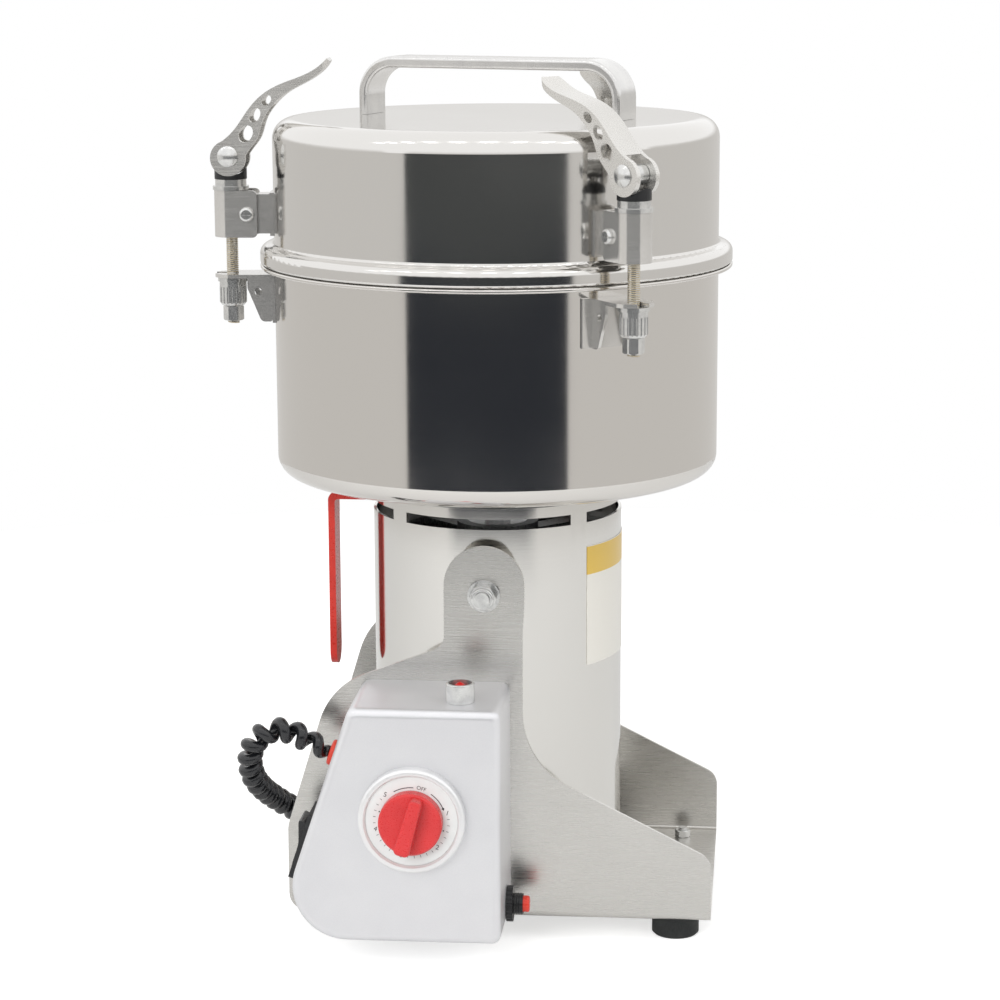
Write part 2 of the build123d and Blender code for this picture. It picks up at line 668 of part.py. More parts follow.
def make_lid():
    """Lid with its bead, the groove for the seal and holes for the handle's screws."""
    wall = bowl_wall
    low = joint_z + lid_gap * 3 / 4
    lid = turned([
        (0, lid_top), (bowl_radius, lid_top, lid_corner), (bowl_radius, bead_high, 1.6),
        (bead_radius, bead_high - 1.2, 4.2), (bead_radius, low, 1.5), (bowl_inner, low),
        (bowl_inner, lid_top - wall, lid_corner - wall), (0, lid_top - wall),
    ])
    lid -= ring(seal_outer + gap, seal_inner - gap, joint_z - 1, joint_z + seal_depth + gap)
    for x in (-1, 1):
        hole = rod(handle_screw_radius + 0.6, lid_top - 5, lid_top + 1, x * handle_foot_x, 0)
        lid -= Rot(0, 0, handle_turn) * hole
    return lid


def make_handle():
    """Chromed strap handle across the lid."""
    top = lid_top + handle_rise
    low = lid_top + gap
    half = handle_length / 2
    outer = rounded([(-half, low, 0), (half, low, 0), (half, top, 20), (-half, top, 20)])
    reach, under = half - handle_leg, top - handle_thick
    inner = rounded([(-reach, low - 1, 0), (reach, low - 1, 0), (reach, under, 14.5), (-reach, under, 14.5)])
    strap = prism_y(outer - inner, -handle_width / 2, handle_width / 2)
    sides = strap.faces().filter_by(Axis.Y).edges()
    strap = fillet(sides.filter_by(lambda edge: edge.center().Z > low + 0.5), 1.8)
    for x in (-1, 1):
        strap -= rod(handle_screw_radius + gap, lid_top - 1, lid_top + 12, x * handle_foot_x, 0)
    return Rot(0, 0, handle_turn) * strap


def make_handle_screws():
    screws = []
    under = lid_top - bowl_wall - gap
    for x in (-1, 1):
        screw = rod(handle_screw_radius, under - 1, lid_top + 11, x * handle_foot_x, 0)
        screw += rod(4.0, under - 2.5, under, x * handle_foot_x, 0)
        screws.append(Rot(0, 0, handle_turn) * screw)
    return screws


# ---- latches: drawn with the rod in the XZ plane, X outwards ----
def on_latch(piece, angle):
    """Turns a piece of the latch at the front into its place round the lid."""
    return Rot(0, 0, angle - 90) * piece


def about_rod(piece, turn):
    """Turns a piece about its own latch rod."""
    return Pos(latch_radius, 0, 0) * Rot(0, 0, turn) * Pos(-latch_radius, 0, 0) * piece


def pressed_on(piece, swing):
    """Swings a lever about its pin towards the lid."""
    return Pos(latch_radius, 0, cam_z) * Rot(0, -swing, 0) * Pos(-latch_radius, 0, -cam_z) * piece


def make_lug():
    """Welded on the lid: a back plate and two ears for the cross screw."""
    half = strap_half - strap_sheet - 0.3
    back = ring(bowl_radius + 2.0, bowl_radius + 0.02, strap_low + 1, strap_high - 1)
    back &= block(bowl_radius - 15, bowl_radius + 5, -half - 3, half + 3, strap_low, strap_high)
    x0, x1 = bowl_radius + 1.4, strap_pin_x + 3.2
    thick = 1.6
    lug = back + block(x0, x1, -half, half, strap_high - 2 - thick, strap_high - 2)
    for y in (-half, half - thick):
        lug += block(x0, x1, y, y + thick, strap_low + 2, strap_high - 2)
    return lug - rod_y(strap_screw_radius + gap, -20, 20, strap_pin_x, strap_screw_z)


def make_strap():
    """Bent strap round the rod, with a solid guide at its outer end."""
    x0 = strap_pin_x - 5.4
    inside = strap_half - strap_sheet
    outer = block(x0, latch_radius, -strap_half, strap_half, strap_low, strap_high)
    outer += rod(strap_half, strap_low, strap_high, latch_radius, 0)
    strap = outer - block(x0 - 1, strap_pin_x + 3.6, -inside, inside, strap_low - 1, strap_high + 1)
    strap = fillet(strap.edges().filter_by(Axis.Y).filter_by_position(Axis.X, x0 - 0.1, x0 + 0.1), 2.4)
    strap -= rod(latch_rod_radius + gap, strap_low - 1, strap_high + 1, latch_radius, 0)
    return strap - rod_y(strap_screw_radius + gap, -20, 20, strap_pin_x, strap_screw_z)


def facing(piece, side):
    """Turns a cross screw end for end, so that its head is on the strap's other side."""
    turn = 0 if side > 0 else 180
    return Pos(0, 0, strap_screw_z) * Rot(turn, 0, 0) * Pos(0, 0, -strap_screw_z) * piece


def make_strap_screw():
    """Pan-headed cross screw through strap and lug, with its nut."""
    x, z = strap_pin_x, strap_screw_z
    screw = rod_y(strap_screw_radius, -strap_half - 1, strap_half + 2.6, x, z)
    head = rod_y(3.9, -strap_half - 2.4, -strap_half - gap, x, z)
    head = fillet(head.edges().filter_by(GeomType.CIRCLE).sort_by(Axis.Y)[0], 1.5)
    for long, wide in ((2.4, 0.4), (0.4, 2.4)):
        head -= block(x - long, x + long, -strap_half - 3, -strap_half - 1.5, z - wide, z + wide)
    nut = Pos(x, strap_half + gap, z) * Rot(-90, 0, 0) * hexagon(7.0, 0, 3.0)
    return [screw + head, nut - rod_y(strap_screw_radius + press, strap_half, strap_half + 5, x, z)]


def make_latch_rod():
    """Draw rod with the cross barrel that the lever's pin goes through."""
    stem = rod(latch_rod_radius, nut_low - lock_nut_height - 1.3, cam_z - 2, latch_radius, 0)
    half = lever_inner - move_gap
    barrel = rod_y(lever_pin_radius + 2.7, -half, half, latch_radius, cam_z)
    return stem + barrel - rod_y(lever_pin_radius + gap, -20, 20, latch_radius, cam_z)


def make_lever_pin():
    """Pin with two domed heads."""
    x, z = latch_radius, cam_z
    radius, edge, rise = lever_pin_radius + 3.0, 0.5, 2.0     # head's radius, straight edge and dome
    dome = (radius ** 2 + rise ** 2) / (2 * rise)
    pin = rod_y(lever_pin_radius, -lever_half - 1, lever_half + 1, x, z)
    for side in (-1, 1):
        inside = side * (lever_half + 0.15)
        head = rod_y(radius, inside, inside + side * (edge + rise), x, z)
        pin += head & Pos(x, inside + side * (edge + rise - dome), z) * Sphere(dome)
    return pin


def make_thrust_washer():
    """Stepped washer between strap and wear pad."""
    low = strap_high + gap
    washer = rod(strap_half + 0.6, low, low + 2.0, latch_radius, 0)
    washer += rod(strap_half - 0.7, low + 1.9, low + washer_height, latch_radius, 0)
    return washer - rod(latch_rod_radius + 0.2, low - 1, low + 8, latch_radius, 0)


def make_cam_pad():
    """Black wear pad that the lever's cam bears on."""
    low = strap_high + washer_height + 2 * gap
    pad = rod(strap_half - 0.4, low, cam_z - 5.6, latch_radius, 0)
    for turn in range(-15, 120, 15):
        x = latch_radius - cam_throw * sin(radians(turn))
        pad -= rod_y(cam_radius + move_gap, -20, 20, x, cam_z - cam_throw * cos(radians(turn)))
    return pad - rod(latch_rod_radius + 0.2, low - 1, cam_z, latch_radius, 0)


# The lever's side outline, as (towards the bowl, up) from its pin.
lever_upper = [(-5.5, 6.6), (0.9, 11.1), (4.9, 15.5), (11.0, 24.1), (18.3, 31.9), (28.6, 37.9), (39.1, 41.8),
               (47.1, 45.7), (53.3, 51.2)]
lever_lower = [(54.7, 49.8), (48.9, 43.3), (40.9, 38.2), (31.4, 33.1), (23.7, 26.1), (19.0, 18.9),
               (15.5, 8.9), (11.0, 2.9), (7.6, -3.0)]
# Oval holes along the arm, as (towards the bowl, up, half length, half width, angle).
lever_holes = [(9.9, 11.9, 4.8, 3.6, 58), (14.9, 21.6, 4.1, 2.8, 60), (21.2, 29.4, 3.2, 2.2, 45)]
# The inner side of the arm, where it is open towards the lid.
lever_mouth = [(25.0, 26.5), (24.0, 19.0), (20.0, 8.0), (14.0, -4.0)]


def lever_face(upper, lower):
    """Arm between an upper and a lower curve, closed by the tip and the pin end."""
    top = Spline(*[(latch_radius - u, cam_z + v) for u, v in upper])
    bottom = Spline(*[(latch_radius - u, cam_z + v) for u, v in lower])
    return make_face(Wire([top, Line(top @ 1, bottom @ 0), bottom, Line(bottom @ 1, top @ 0)]))


def make_lever():
    """Cam lever: two pierced sides joined along the outer edge, with a round cam at the pin."""
    arm = prism_y(lever_face(lever_upper, lever_lower), -lever_half, lever_half)
    outer, tip = latch_radius + 20, latch_radius - lever_tip
    plan = rounded([(outer, -lever_half, 0), (outer, lever_half, 0), (tip, lever_half, lever_tip_corner),
                    (tip, -lever_half, lever_tip_corner)])
    arm &= Pos(0, 0, cam_z - 20) * extrude(plan, 90)
    eye = rod_y(cam_radius, -lever_half, lever_half, latch_radius, cam_z - cam_throw)
    hollow_upper = [(u + lever_web * 0.8, v - lever_web * 0.85) for u, v in lever_upper[:5]]
    hollow = prism_y(lever_face([(-5.0, 0.0)] + hollow_upper, lever_mouth), -lever_inner, lever_inner)
    hollow += rod_y(cam_radius + 1.5, -lever_inner, lever_inner, latch_radius, cam_z - cam_throw)
    lever = arm + eye - hollow
    for u, v, long, wide, turn in lever_holes:
        oval = Pos(latch_radius - u, cam_z + v) * Rot(0, 0, 180 - turn) * Ellipse(long, wide)
        lever -= prism_y(oval, -20, 20)
    return lever - rod_y(lever_pin_radius + running, -20, 20, latch_radius, cam_z)


def make_clamp_nut():
    """Fluted thumb nut under the slotted catch."""
    x = latch_radius
    nut = rod(nut_radius + 0.8, nut_high - 2.2, nut_high, x, 0)
    nut += rod(nut_radius, nut_low + 1.5, nut_high - 2, x, 0)
    nut += Pos(x, 0, nut_low + 0.75) * Cone(nut_radius - 1.2, nut_radius, 1.5)
    flute = nut_radius + 0.1
    for turn in range(0, 360, 18):
        a = radians(turn)
        nut -= rod(0.55, nut_low - 1, nut_high - 5, x + flute * cos(a), flute * sin(a))
    return nut - rod(latch_rod_radius + running, nut_low - 1, nut_high + 1, x, 0)


def make_lock_nut():
    low = nut_low - lock_nut_height
    nut = hexagon(10.0, low, nut_low - move_gap, latch_radius, 0)
    return nut - rod(latch_rod_radius + press, low - 1, nut_low + 1, latch_radius, 0)


def make_catch():
    """Slotted catch welded on the bowl: top plate, two gussets and a wall flange."""
    low, under = catch_top - catch_height, catch_top - catch_sheet
    x0, end = bowl_radius + 0.9, latch_radius + 9.5
    slot = latch_rod_radius + 0.4
    catch = block(x0, end - 8, -catch_half, catch_half, under, catch_top)
    nose = rod(catch_half, under, catch_top, end - catch_half, 0)
    catch += nose & block(end - 9, end + 1, -20, 20, under, catch_top)
    catch -= block(latch_radius, end + 5, -slot, slot, under - 1, catch_top + 1)
    catch -= rod(slot, under - 1, catch_top + 1, latch_radius, 0)
    reach = latch_radius - nut_radius - 1.6     # gussets end before the thumb nut
    gusset = rounded([(x0, low, 1.5), (x0 + 6, low, 3), (reach, catch_top - 7, 3),
                      (reach, catch_top - 1, 0), (x0, catch_top - 1, 0)])
    for side in (-1, 1):
        y0 = catch_half - 1.6 if side > 0 else -catch_half
        catch += prism_y(gusset, y0, y0 + 1.6)
    flange = ring(bowl_radius + 1.6, bowl_radius + 0.02, low, catch_top)
    flange &= block(bowl_radius - 15, bowl_radius + 5, -catch_half - 5, catch_half + 5, low, catch_top)
    catch += flange
    return catch - rod_y(2.0, -20, 20, bowl_radius + 8.5, catch_top - 9)


# ---- blades ----
def make_blade(radius, z, width, droop, turn):
    """Two-armed blade: a flat hub and two arms with ground, bent tips."""
    high = z + blade_sheet
    blade = rod(14, z, high) + block(-radius, radius, -width / 2, width / 2, z, high)
    for side in (-1, 1):
        tip = Rot(0, side * droop, 0) * Box(26, width, blade_sheet)
        blade += Pos(side * (radius - 12), 0, z + blade_sheet / 2) * tip
        ground = Rot(0, 0, 35) * Box(30, width * 0.55, 60)
        blade -= Pos(side * (radius + 4), side * width * 0.72, z) * ground
    return Rot(0, 0, turn) * (blade - rod(shaft_end_radius + press, z - 1, high + 1))


def make_blades():
    """Three blades on the shaft's thin end, each turned against the one below, and their nut."""
    longest = bowl_inner - blade_room
    stack = [("lower_blade", longest, 15, 12, 0), ("middle_blade", longest - 8, 13, -14, 60),
             ("upper_blade", longest - 24, 12, 0, 120)]
    low = shaft_high - shaft_neck + gap
    made = {}
    for name, radius, width, droop, turn in stack:
        made[name] = make_blade(radius, low, width, droop, turn)
        low += blade_sheet + gap
    made["blade_nut"] = hexagon(14.0, low, low + 4.0) - rod(shaft_end_radius + press, low - 1, low + 6)
    return made


# ---- pour handle and label on the barrel ----
def make_pour_handle():
    """Red strip bent down from the barrel's top rim, with a round lower end."""
    top = slot_bottom + slot_height + 1.5
    thick, half = 3.6, 9.0
    inner = -barrel_radius - 20.9
    outer = inner - thick
    end_z = barrel_top - 92.0
    rim = -barrel_radius - 0.35
    low = end_z - half - 3
    outline = rounded([(outer, low, 1.2), (inner, low, 1.2), (inner, top - thick, 2.0), (rim, top - thick, 0),
                       (rim, top, 0), (outer, top, 4.0)])
    keep = block(outer - 4, -barrel_radius + 7, -half - 1, half + 1, end_z, top + 1)
    keep += Pos(0, 0, end_z) * rod_x(half, outer - 4, inner + 3)
    return prism_y(outline, -half, half) & keep


def make_label():
    """Thin sticker on the barrel, between two directions from its axis."""
    low, high = barrel_top - 88.5, barrel_top - 24.0
    label = ring(barrel_radius + 0.35, barrel_radius + 0.05, low, high)
    far = barrel_radius + 33
    edges = [(far * cos(radians(turn)), far * sin(radians(turn))) for turn in (-40, 22)]
    wedge = make_face(Polyline((0, 0), edges[0], (far * 1.1, 0), edges[1], close=True))
    return label & Pos(0, 0, low - 1) * extrude(wedge, high - low + 2)


def make_all():
    nodes = {}
    nodes["yoke"] = make_yoke()
    nodes["rubber_feet"] = make_feet()
    nodes["foot_screws"] = make_foot_screws()
    nodes["control_box"] = make_control_box()
    nodes["box_screws"] = make_box_screws()
    nodes["timer_body"] = make_timer_body()
    nodes["dial_ring"] = make_dial_ring()
    nodes["dial_plate"] = make_dial_plate()
    nodes["timer_knob"] = make_timer_knob()
    nodes["lamp_bezel"], nodes["lamp_lens"] = make_lamp()
    nodes["breaker_body"], nodes["breaker_button"] = make_breaker()
    nodes["switch_frame"], nodes["switch_rocker"] = make_switch()
    nodes["box_gland"] = make_box_gland()
    nodes["motor_lead"] = make_lead()
    nodes["motor_barrel"] = make_barrel()
    nodes["barrel_cover"] = make_barrel_cover()
    nodes["barrel_gland"] = make_barrel_gland()
    nodes["stator_core"], nodes["field_windings"] = make_stator()
    nodes["bearing_brackets"] = make_brackets()
    nodes["bearings"] = make_bearings()
    nodes["brush_gear"] = make_brush_gear()
    nodes["armature"] = make_armature()
    nodes["cooling_fan"] = make_fan()
    nodes["motor_shaft"] = make_shaft()
    nodes["pivot_bolts"], nodes["pivot_washers"], nodes["pivot_nuts"] = make_pivots()
    nodes["bowl_seat"] = make_bowl_seat()
    nodes["shaft_seal"] = make_shaft_seal()
    nodes["grinding_bowl"] = make_bowl()
    nodes["lid_seal"] = make_lid_seal()
    nodes["lid"] = make_lid()
    nodes["lid_handle"] = make_handle()
    nodes["handle_screws"] = make_handle_screws()
    nodes["pour_handle"] = make_pour_handle()
    nodes["barrel_label"] = make_label()
    nodes.update(make_blades())
    fixed = {
        "latch_lugs": make_lug(),
        "latch_straps": make_strap(),
        "thrust_washers": make_thrust_washer(),
        "lock_nuts": make_lock_nut(),
        "catch_brackets": make_catch(),
    }
    for name, piece in fixed.items():
        nodes[name] = [on_latch(piece, angle) for angle in latch_angles]
    nodes["strap_screws"] = [on_latch(facing(p, side), angle)
                             for angle, side in zip(latch_angles, screw_sides) for p in make_strap_screw()]
    turning = {
        "latch_rods": make_latch_rod(),
        "lever_pins": make_lever_pin(),
        "cam_pads": make_cam_pad(),
    }
    for name, piece in turning.items():
        nodes[name] = [on_latch(about_rod(piece, turn), angle)
                       for angle, turn in zip(latch_angles, lever_turns)]
    lever, thumb_nut = make_lever(), make_clamp_nut()
    for i, angle in enumerate(latch_angles):
        pressed = pressed_on(lever, lever_swings[i])
        nodes[f"latch_lever_{i + 1}"] = on_latch(about_rod(pressed, lever_turns[i]), angle)
        nodes[f"clamp_nut_{i + 1}"] = on_latch(thumb_nut, angle)
    return nodes


def solids_of(piece):
    pieces = piece if isinstance(piece, list) else [piece]
    return [solid for p in pieces for solid in p.solids()]


os.makedirs("parts", exist_ok=True)
for node, piece in make_all().items():
    solids = solids_of(piece)
    export_step(solids[0] if len(solids) == 1 else Compound(children=solids), f"parts/{node}.step")
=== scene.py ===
import json
from math import cos, pi, radians, sin

import bmesh
import bpy
from mathutils import Matrix, Vector

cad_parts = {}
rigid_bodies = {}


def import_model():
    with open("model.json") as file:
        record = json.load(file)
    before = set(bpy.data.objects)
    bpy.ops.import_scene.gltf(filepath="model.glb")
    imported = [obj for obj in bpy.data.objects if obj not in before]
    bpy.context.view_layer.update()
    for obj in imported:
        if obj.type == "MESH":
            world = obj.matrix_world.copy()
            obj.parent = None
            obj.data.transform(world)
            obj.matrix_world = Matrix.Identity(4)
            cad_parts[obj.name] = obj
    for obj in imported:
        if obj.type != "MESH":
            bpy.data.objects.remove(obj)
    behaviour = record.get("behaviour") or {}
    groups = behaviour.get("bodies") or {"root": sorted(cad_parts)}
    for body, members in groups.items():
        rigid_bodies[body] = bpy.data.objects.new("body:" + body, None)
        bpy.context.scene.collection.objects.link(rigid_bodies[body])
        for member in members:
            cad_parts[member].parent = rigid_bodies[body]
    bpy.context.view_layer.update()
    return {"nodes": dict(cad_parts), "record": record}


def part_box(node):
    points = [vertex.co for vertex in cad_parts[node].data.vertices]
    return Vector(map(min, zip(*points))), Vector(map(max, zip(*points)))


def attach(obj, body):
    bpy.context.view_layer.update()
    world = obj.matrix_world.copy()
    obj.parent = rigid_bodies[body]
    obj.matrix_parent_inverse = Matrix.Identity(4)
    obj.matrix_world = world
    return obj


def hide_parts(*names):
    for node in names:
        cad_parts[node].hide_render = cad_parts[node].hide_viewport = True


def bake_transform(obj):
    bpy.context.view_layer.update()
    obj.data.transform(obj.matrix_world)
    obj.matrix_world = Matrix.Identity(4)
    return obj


for leftOver in list(bpy.data.objects):
    bpy.data.objects.remove(leftOver, do_unlink=True)  # a start-up file's cube would count as a piece
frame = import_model()
nodes = frame["nodes"]
mm = 0.001
noiseLow, noiseHigh = 0.3, 0.7  # most of a noise texture's values lie between these
print("frame loaded:", len(nodes), "nodes")


def hexColour(text):
    # sRGB hex to the linear RGBA that shaders take
    parts = [int(text[i:i + 2], 16) / 255 for i in (0, 2, 4)]
    return [p / 12.92 if p <= 0.04045 else ((p + 0.055) / 1.055) ** 2.4 for p in parts] + [1.0]


def addNode(tree, kind, inputs=None, take=0, to=None, **settings):
    # a node with its settings; an input is a number, a colour or another node's output
    node = tree.nodes.new(kind)
    for name, value in settings.items():
        setattr(node, name, value)
    for key, value in (inputs or {}).items():
        if isinstance(value, bpy.types.NodeSocket):
            tree.links.new(value, node.inputs[key])
        else:
            node.inputs[key].default_value = value
    if to is not None:
        tree.links.new(node.outputs[take], to)
    return node.outputs[take] if len(node.outputs) else node


def emptyTree(owner):
    owner.use_nodes = True
    owner.node_tree.nodes.clear()
    return owner.node_tree


def startMaterial(name, base, roughness, metallic=0.0, **sockets):
    # a Principled material with its constants on the shader's own sockets
    material = bpy.data.materials.new(name)
    tree = emptyTree(material)
    surface = addNode(tree, "ShaderNodeBsdfPrincipled", {
        "Base Color": hexColour(base), "Roughness": roughness, "Metallic": metallic,
        **{key.replace("_", " "): value for key, value in sockets.items()}})
    addNode(tree, "ShaderNodeOutputMaterial", {"Surface": surface})
    place = addNode(tree, "ShaderNodeTexCoord", take="Object")
    return material, tree, surface.node.inputs, place


def mottle(tree, pattern, dark, base, to, low=0.32, high=0.66):
    # takes a colour from its dark shade to its base as the pattern goes from low to high
    share = addNode(tree, "ShaderNodeMapRange", {"Value": pattern, "From Min": low, "From Max": high})
    addNode(tree, "ShaderNodeMix", {0: share, 6: hexColour(dark), 7: hexColour(base)}, 2, to,
            data_type="RGBA")


def waveScale(apart):
    # the scale at which a wave texture repeats every so many mm: one wave is 2 * pi / 20 units long
    return 2 * pi / 20 / (apart * mm)


def meshPiece(name, mesh, material, body=None):
    piece = bpy.data.objects.new(name, mesh)
    bpy.context.scene.collection.objects.link(piece)
    mesh.materials.clear()
    mesh.materials.append(material)
    if body:
        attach(piece, body)
    return piece


def meshFrom(shape, name):
    data = bpy.data.meshes.new(name)
    shape.to_mesh(data)
    shape.free()
    return data


def bakedFrom(tree, name, settings):
    # runs a Geometry Nodes tree on an empty mesh and returns the plain mesh it makes
    holder = bpy.data.objects.new(name + "Holder", bpy.data.meshes.new(name + "Start"))
    bpy.context.scene.collection.objects.link(holder)
    modifier = holder.modifiers.new("build", "NODES")
    modifier.node_group = tree
    for item in tree.interface.items_tree:
        if item.item_type == "SOCKET" and item.in_out == "INPUT" and item.name in settings:
            modifier[item.identifier] = settings[item.name]
    seen = holder.evaluated_get(bpy.context.evaluated_depsgraph_get())
    mesh = bpy.data.meshes.new_from_object(seen)
    mesh.name = name
    holder.modifiers.remove(modifier)
    bpy.data.objects.remove(holder, do_unlink=True)
    return mesh


def startTree(name, inputs):
    # a Geometry Nodes tree with named inputs of (kind, default)
    tree = bpy.data.node_groups.new(name, "GeometryNodeTree")
    tree.interface.new_socket("Geometry", in_out="OUTPUT", socket_type="NodeSocketGeometry")
    for label, (kind, default) in inputs.items():
        socket = tree.interface.new_socket(label, in_out="INPUT", socket_type=kind)
        socket.default_value = default
    return tree, addNode(tree, "NodeGroupInput").node.outputs


def endTree(tree, geometry, material):
    real = addNode(tree, "GeometryNodeRealizeInstances", {"Geometry": geometry})
    done = addNode(tree, "GeometryNodeSetMaterial", {"Geometry": real, "Material": material})
    addNode(tree, "NodeGroupOutput", {"Geometry": done})


cameraSet = {
    "place": (145.85, -1515.45, 531.57),  # mm
    "turn": 0.0951,  # radians, to the left of +Y
    "down": 0.2010,
    "roll": -0.0044,
    "lens": 103.19,  # mm
    "frame": 36,  # mm wide
    "clip": (0.05, 50),  # metres
}


def makeCamera(settings):
    data = bpy.data.cameras.new("camera")
    data.sensor_width = settings["frame"]
    data.lens = settings["lens"]
    data.clip_start, data.clip_end = settings["clip"]
    camera = bpy.data.objects.new("camera", data)
    camera.location = Vector(settings["place"]) * mm
    aim = Matrix.Rotation(settings["turn"], 3, "Z") @ Matrix.Rotation(pi / 2 - settings["down"], 3, "X")
    camera.rotation_euler = (aim @ Matrix.Rotation(settings["roll"], 3, "Z")).to_euler()
    bpy.context.scene.collection.objects.link(camera)
    bpy.context.scene.camera = camera


makeCamera(cameraSet)
bpy.context.scene.view_settings.view_transform = "Standard"
print("camera set")


def spunSteel(name, base, roughness, ring, depth, patch=60, swing=(0.8, 1.35)):
    # stainless sheet, spun and buffed: rings round the wall, too fine to see singly, soften a mirror
    material, tree, surface, place = startMaterial(name, base, roughness, 1.0)
    slow = 0.6  # a ring hardly changes on its way round
    drawn = addNode(tree, "ShaderNodeMapping", {"Vector": place, "Scale": (slow, slow, 1 / (ring * mm))})
    rings = addNode(tree, "ShaderNodeTexNoise", {"Vector": drawn, "Scale": 1.0, "Detail": 2.0})
    cloud = addNode(tree, "ShaderNodeTexNoise", {"Vector": place, "Scale": 1 / (patch * mm), "Detail": 2.0})
    both = addNode(tree, "ShaderNodeMath", {0: rings, 1: cloud}, operation="ADD")
    low, high = 0.7, 1.3  # most of the two noises' sum lies between these
    addNode(tree, "ShaderNodeMapRange", {
        "Value": both, "From Min": low, "From Max": high, "To Min": roughness * swing[0],
        "To Max": roughness * swing[1]}, to=surface["Roughness"])
    addNode(tree, "ShaderNodeBump", {"Height": rings, "Distance": depth * mm}, to=surface["Normal"])
    return material


def brushedSteel(name, base, dark, roughness, grain, depth, along=(1, 0, 0), metallic=1.0, stretch=50,
                 patch=45, swing=(0.85, 1.25)):
    # steel ground or brushed one way: long fine scratches smear what it mirrors across their direction
    material, tree, surface, place = startMaterial(name, base, roughness, metallic)
    fine = 1 / (grain * mm)
    drawn = addNode(tree, "ShaderNodeMapping", {
        "Vector": place, "Scale": tuple(fine / stretch if axis else fine for axis in along)})
    scratches = addNode(tree, "ShaderNodeTexNoise", {"Vector": drawn, "Scale": 1.0, "Detail": 3.0})
    cloud = addNode(tree, "ShaderNodeTexNoise", {"Vector": place, "Scale": 1 / (patch * mm), "Detail": 3.0})
    both = addNode(tree, "ShaderNodeMath", {0: scratches, 1: cloud}, operation="ADD")
    half = addNode(tree, "ShaderNodeMath", {0: both, 1: 0.5}, operation="MULTIPLY")
    mottle(tree, half, dark, base, surface["Base Color"])
    addNode(tree, "ShaderNodeMapRange", {
        "Value": scratches, "From Min": noiseLow, "From Max": noiseHigh, "To Min": roughness * swing[0],
        "To Max": roughness * swing[1]}, to=surface["Roughness"])
    addNode(tree, "ShaderNodeBump", {"Height": scratches, "Distance": depth * mm}, to=surface["Normal"])
    return material


def platedSteel(name, base, dark, roughness, patch, metallic=1.0, grain=0.5, depth=0.002,
                swing=(1.3, 0.8)):
    # electroplated: a soft bright skin that clouds in patches, duller where they are dark
    material, tree, surface, place = startMaterial(name, base, roughness, metallic)
    cloud = addNode(tree, "ShaderNodeTexNoise", {
        "Vector": place, "Scale": 1 / (patch * mm), "Detail": 4.0, "Roughness": 0.6})
    crystals = addNode(tree, "ShaderNodeTexNoise", {"Vector": place, "Scale": 1 / (grain * mm)})
    mottle(tree, cloud, dark, base, surface["Base Color"])
    addNode(tree, "ShaderNodeMapRange", {
        "Value": cloud, "From Min": noiseLow, "From Max": noiseHigh, "To Min": roughness * swing[0],
        "To Max": roughness * swing[1]}, to=surface["Roughness"])
    addNode(tree, "ShaderNodeBump", {"Height": crystals, "Distance": depth * mm}, to=surface["Normal"])
    return material


def castMetal(name, base, dark, roughness, grain, depth=0.05):
    # cast and tumbled aluminium: an even pebbled skin
    material, tree, surface, place = startMaterial(name, base, roughness, 1.0)
    pebbles = addNode(tree, "ShaderNodeTexNoise", {
        "Vector": place, "Scale": 1 / (grain * mm), "Detail": 3.0})
    mottle(tree, pebbles, dark, base, surface["Base Color"])
    addNode(tree, "ShaderNodeBump", {"Height": pebbles, "Distance": depth * mm}, to=surface["Normal"])
    return material


def laminatedIron(name, apart=1.7765, depth=0.1):
    # stacked 0.5 mm sheets with an oxide skin, drawn 1.8 mm apart so that the edges show as lines
    material, tree, surface, place = startMaterial(name, "55565a", 0.5, 0.9)
    sheets = addNode(tree, "ShaderNodeTexWave", {
        "Vector": place, "Scale": waveScale(apart), "Distortion": 0.2}, "Fac",
        wave_type="BANDS", bands_direction="Z")
    mottle(tree, sheets, "2c2d30", "66676b", surface["Base Color"])
    addNode(tree, "ShaderNodeBump", {"Height": sheets, "Distance": depth * mm}, to=surface["Normal"])
    return material


def enamelledCopper(name, apart=1.9635, depth=0.3):
    # 1 mm winding wire under varnish: shiny orange-brown turns, drawn 2 mm apart so that they show, with
    #                                  painted shade in dark brown in the grooves between them
    material, tree, surface, place = startMaterial(
        name, "b0642a", 0.28, 0.8, Coat_Weight=0.5, Coat_Roughness=0.15)
    turns = addNode(tree, "ShaderNodeTexWave", {
        "Vector": place, "Scale": waveScale(apart), "Distortion": 1.2, "Detail": 1.0}, "Fac",
        wave_type="RINGS", rings_direction="Z")
    # painted shade: the colour goes dark brown where the wave is low, in the grooves between the turns
    mottle(tree, turns, "5a2a10", "c1763a", surface["Base Color"])
    addNode(tree, "ShaderNodeBump", {"Height": turns, "Distance": depth * mm}, to=surface["Normal"])
    return material


def silverLacquer(name, base, dark, flakeSize=0.35, patch=30, peelSize=1.6, depth=0.015):
    # lacquer full of aluminium flake on a casting: mirrors softly, over a slight orange peel
    material, tree, surface, place = startMaterial(
        name, base, 0.4, 0.7, Coat_Weight=0.2, Coat_Roughness=0.25)
    flake = addNode(tree, "ShaderNodeTexNoise", {
        "Vector": place, "Scale": 1 / (flakeSize * mm), "Roughness": 0.7})
    cloud = addNode(tree, "ShaderNodeTexNoise", {"Vector": place, "Scale": 1 / (patch * mm)})
    both = addNode(tree, "ShaderNodeMath", {0: flake, 1: cloud}, operation="ADD")
    half = addNode(tree, "ShaderNodeMath", {0: both, 1: 0.5}, operation="MULTIPLY")
    mottle(tree, half, dark, base, surface["Base Color"])
    peel = addNode(tree, "ShaderNodeTexNoise", {"Vector": place, "Scale": 1 / (peelSize * mm)})
    addNode(tree, "ShaderNodeBump", {"Height": peel, "Distance": depth * mm}, to=surface["Normal"])
    return material


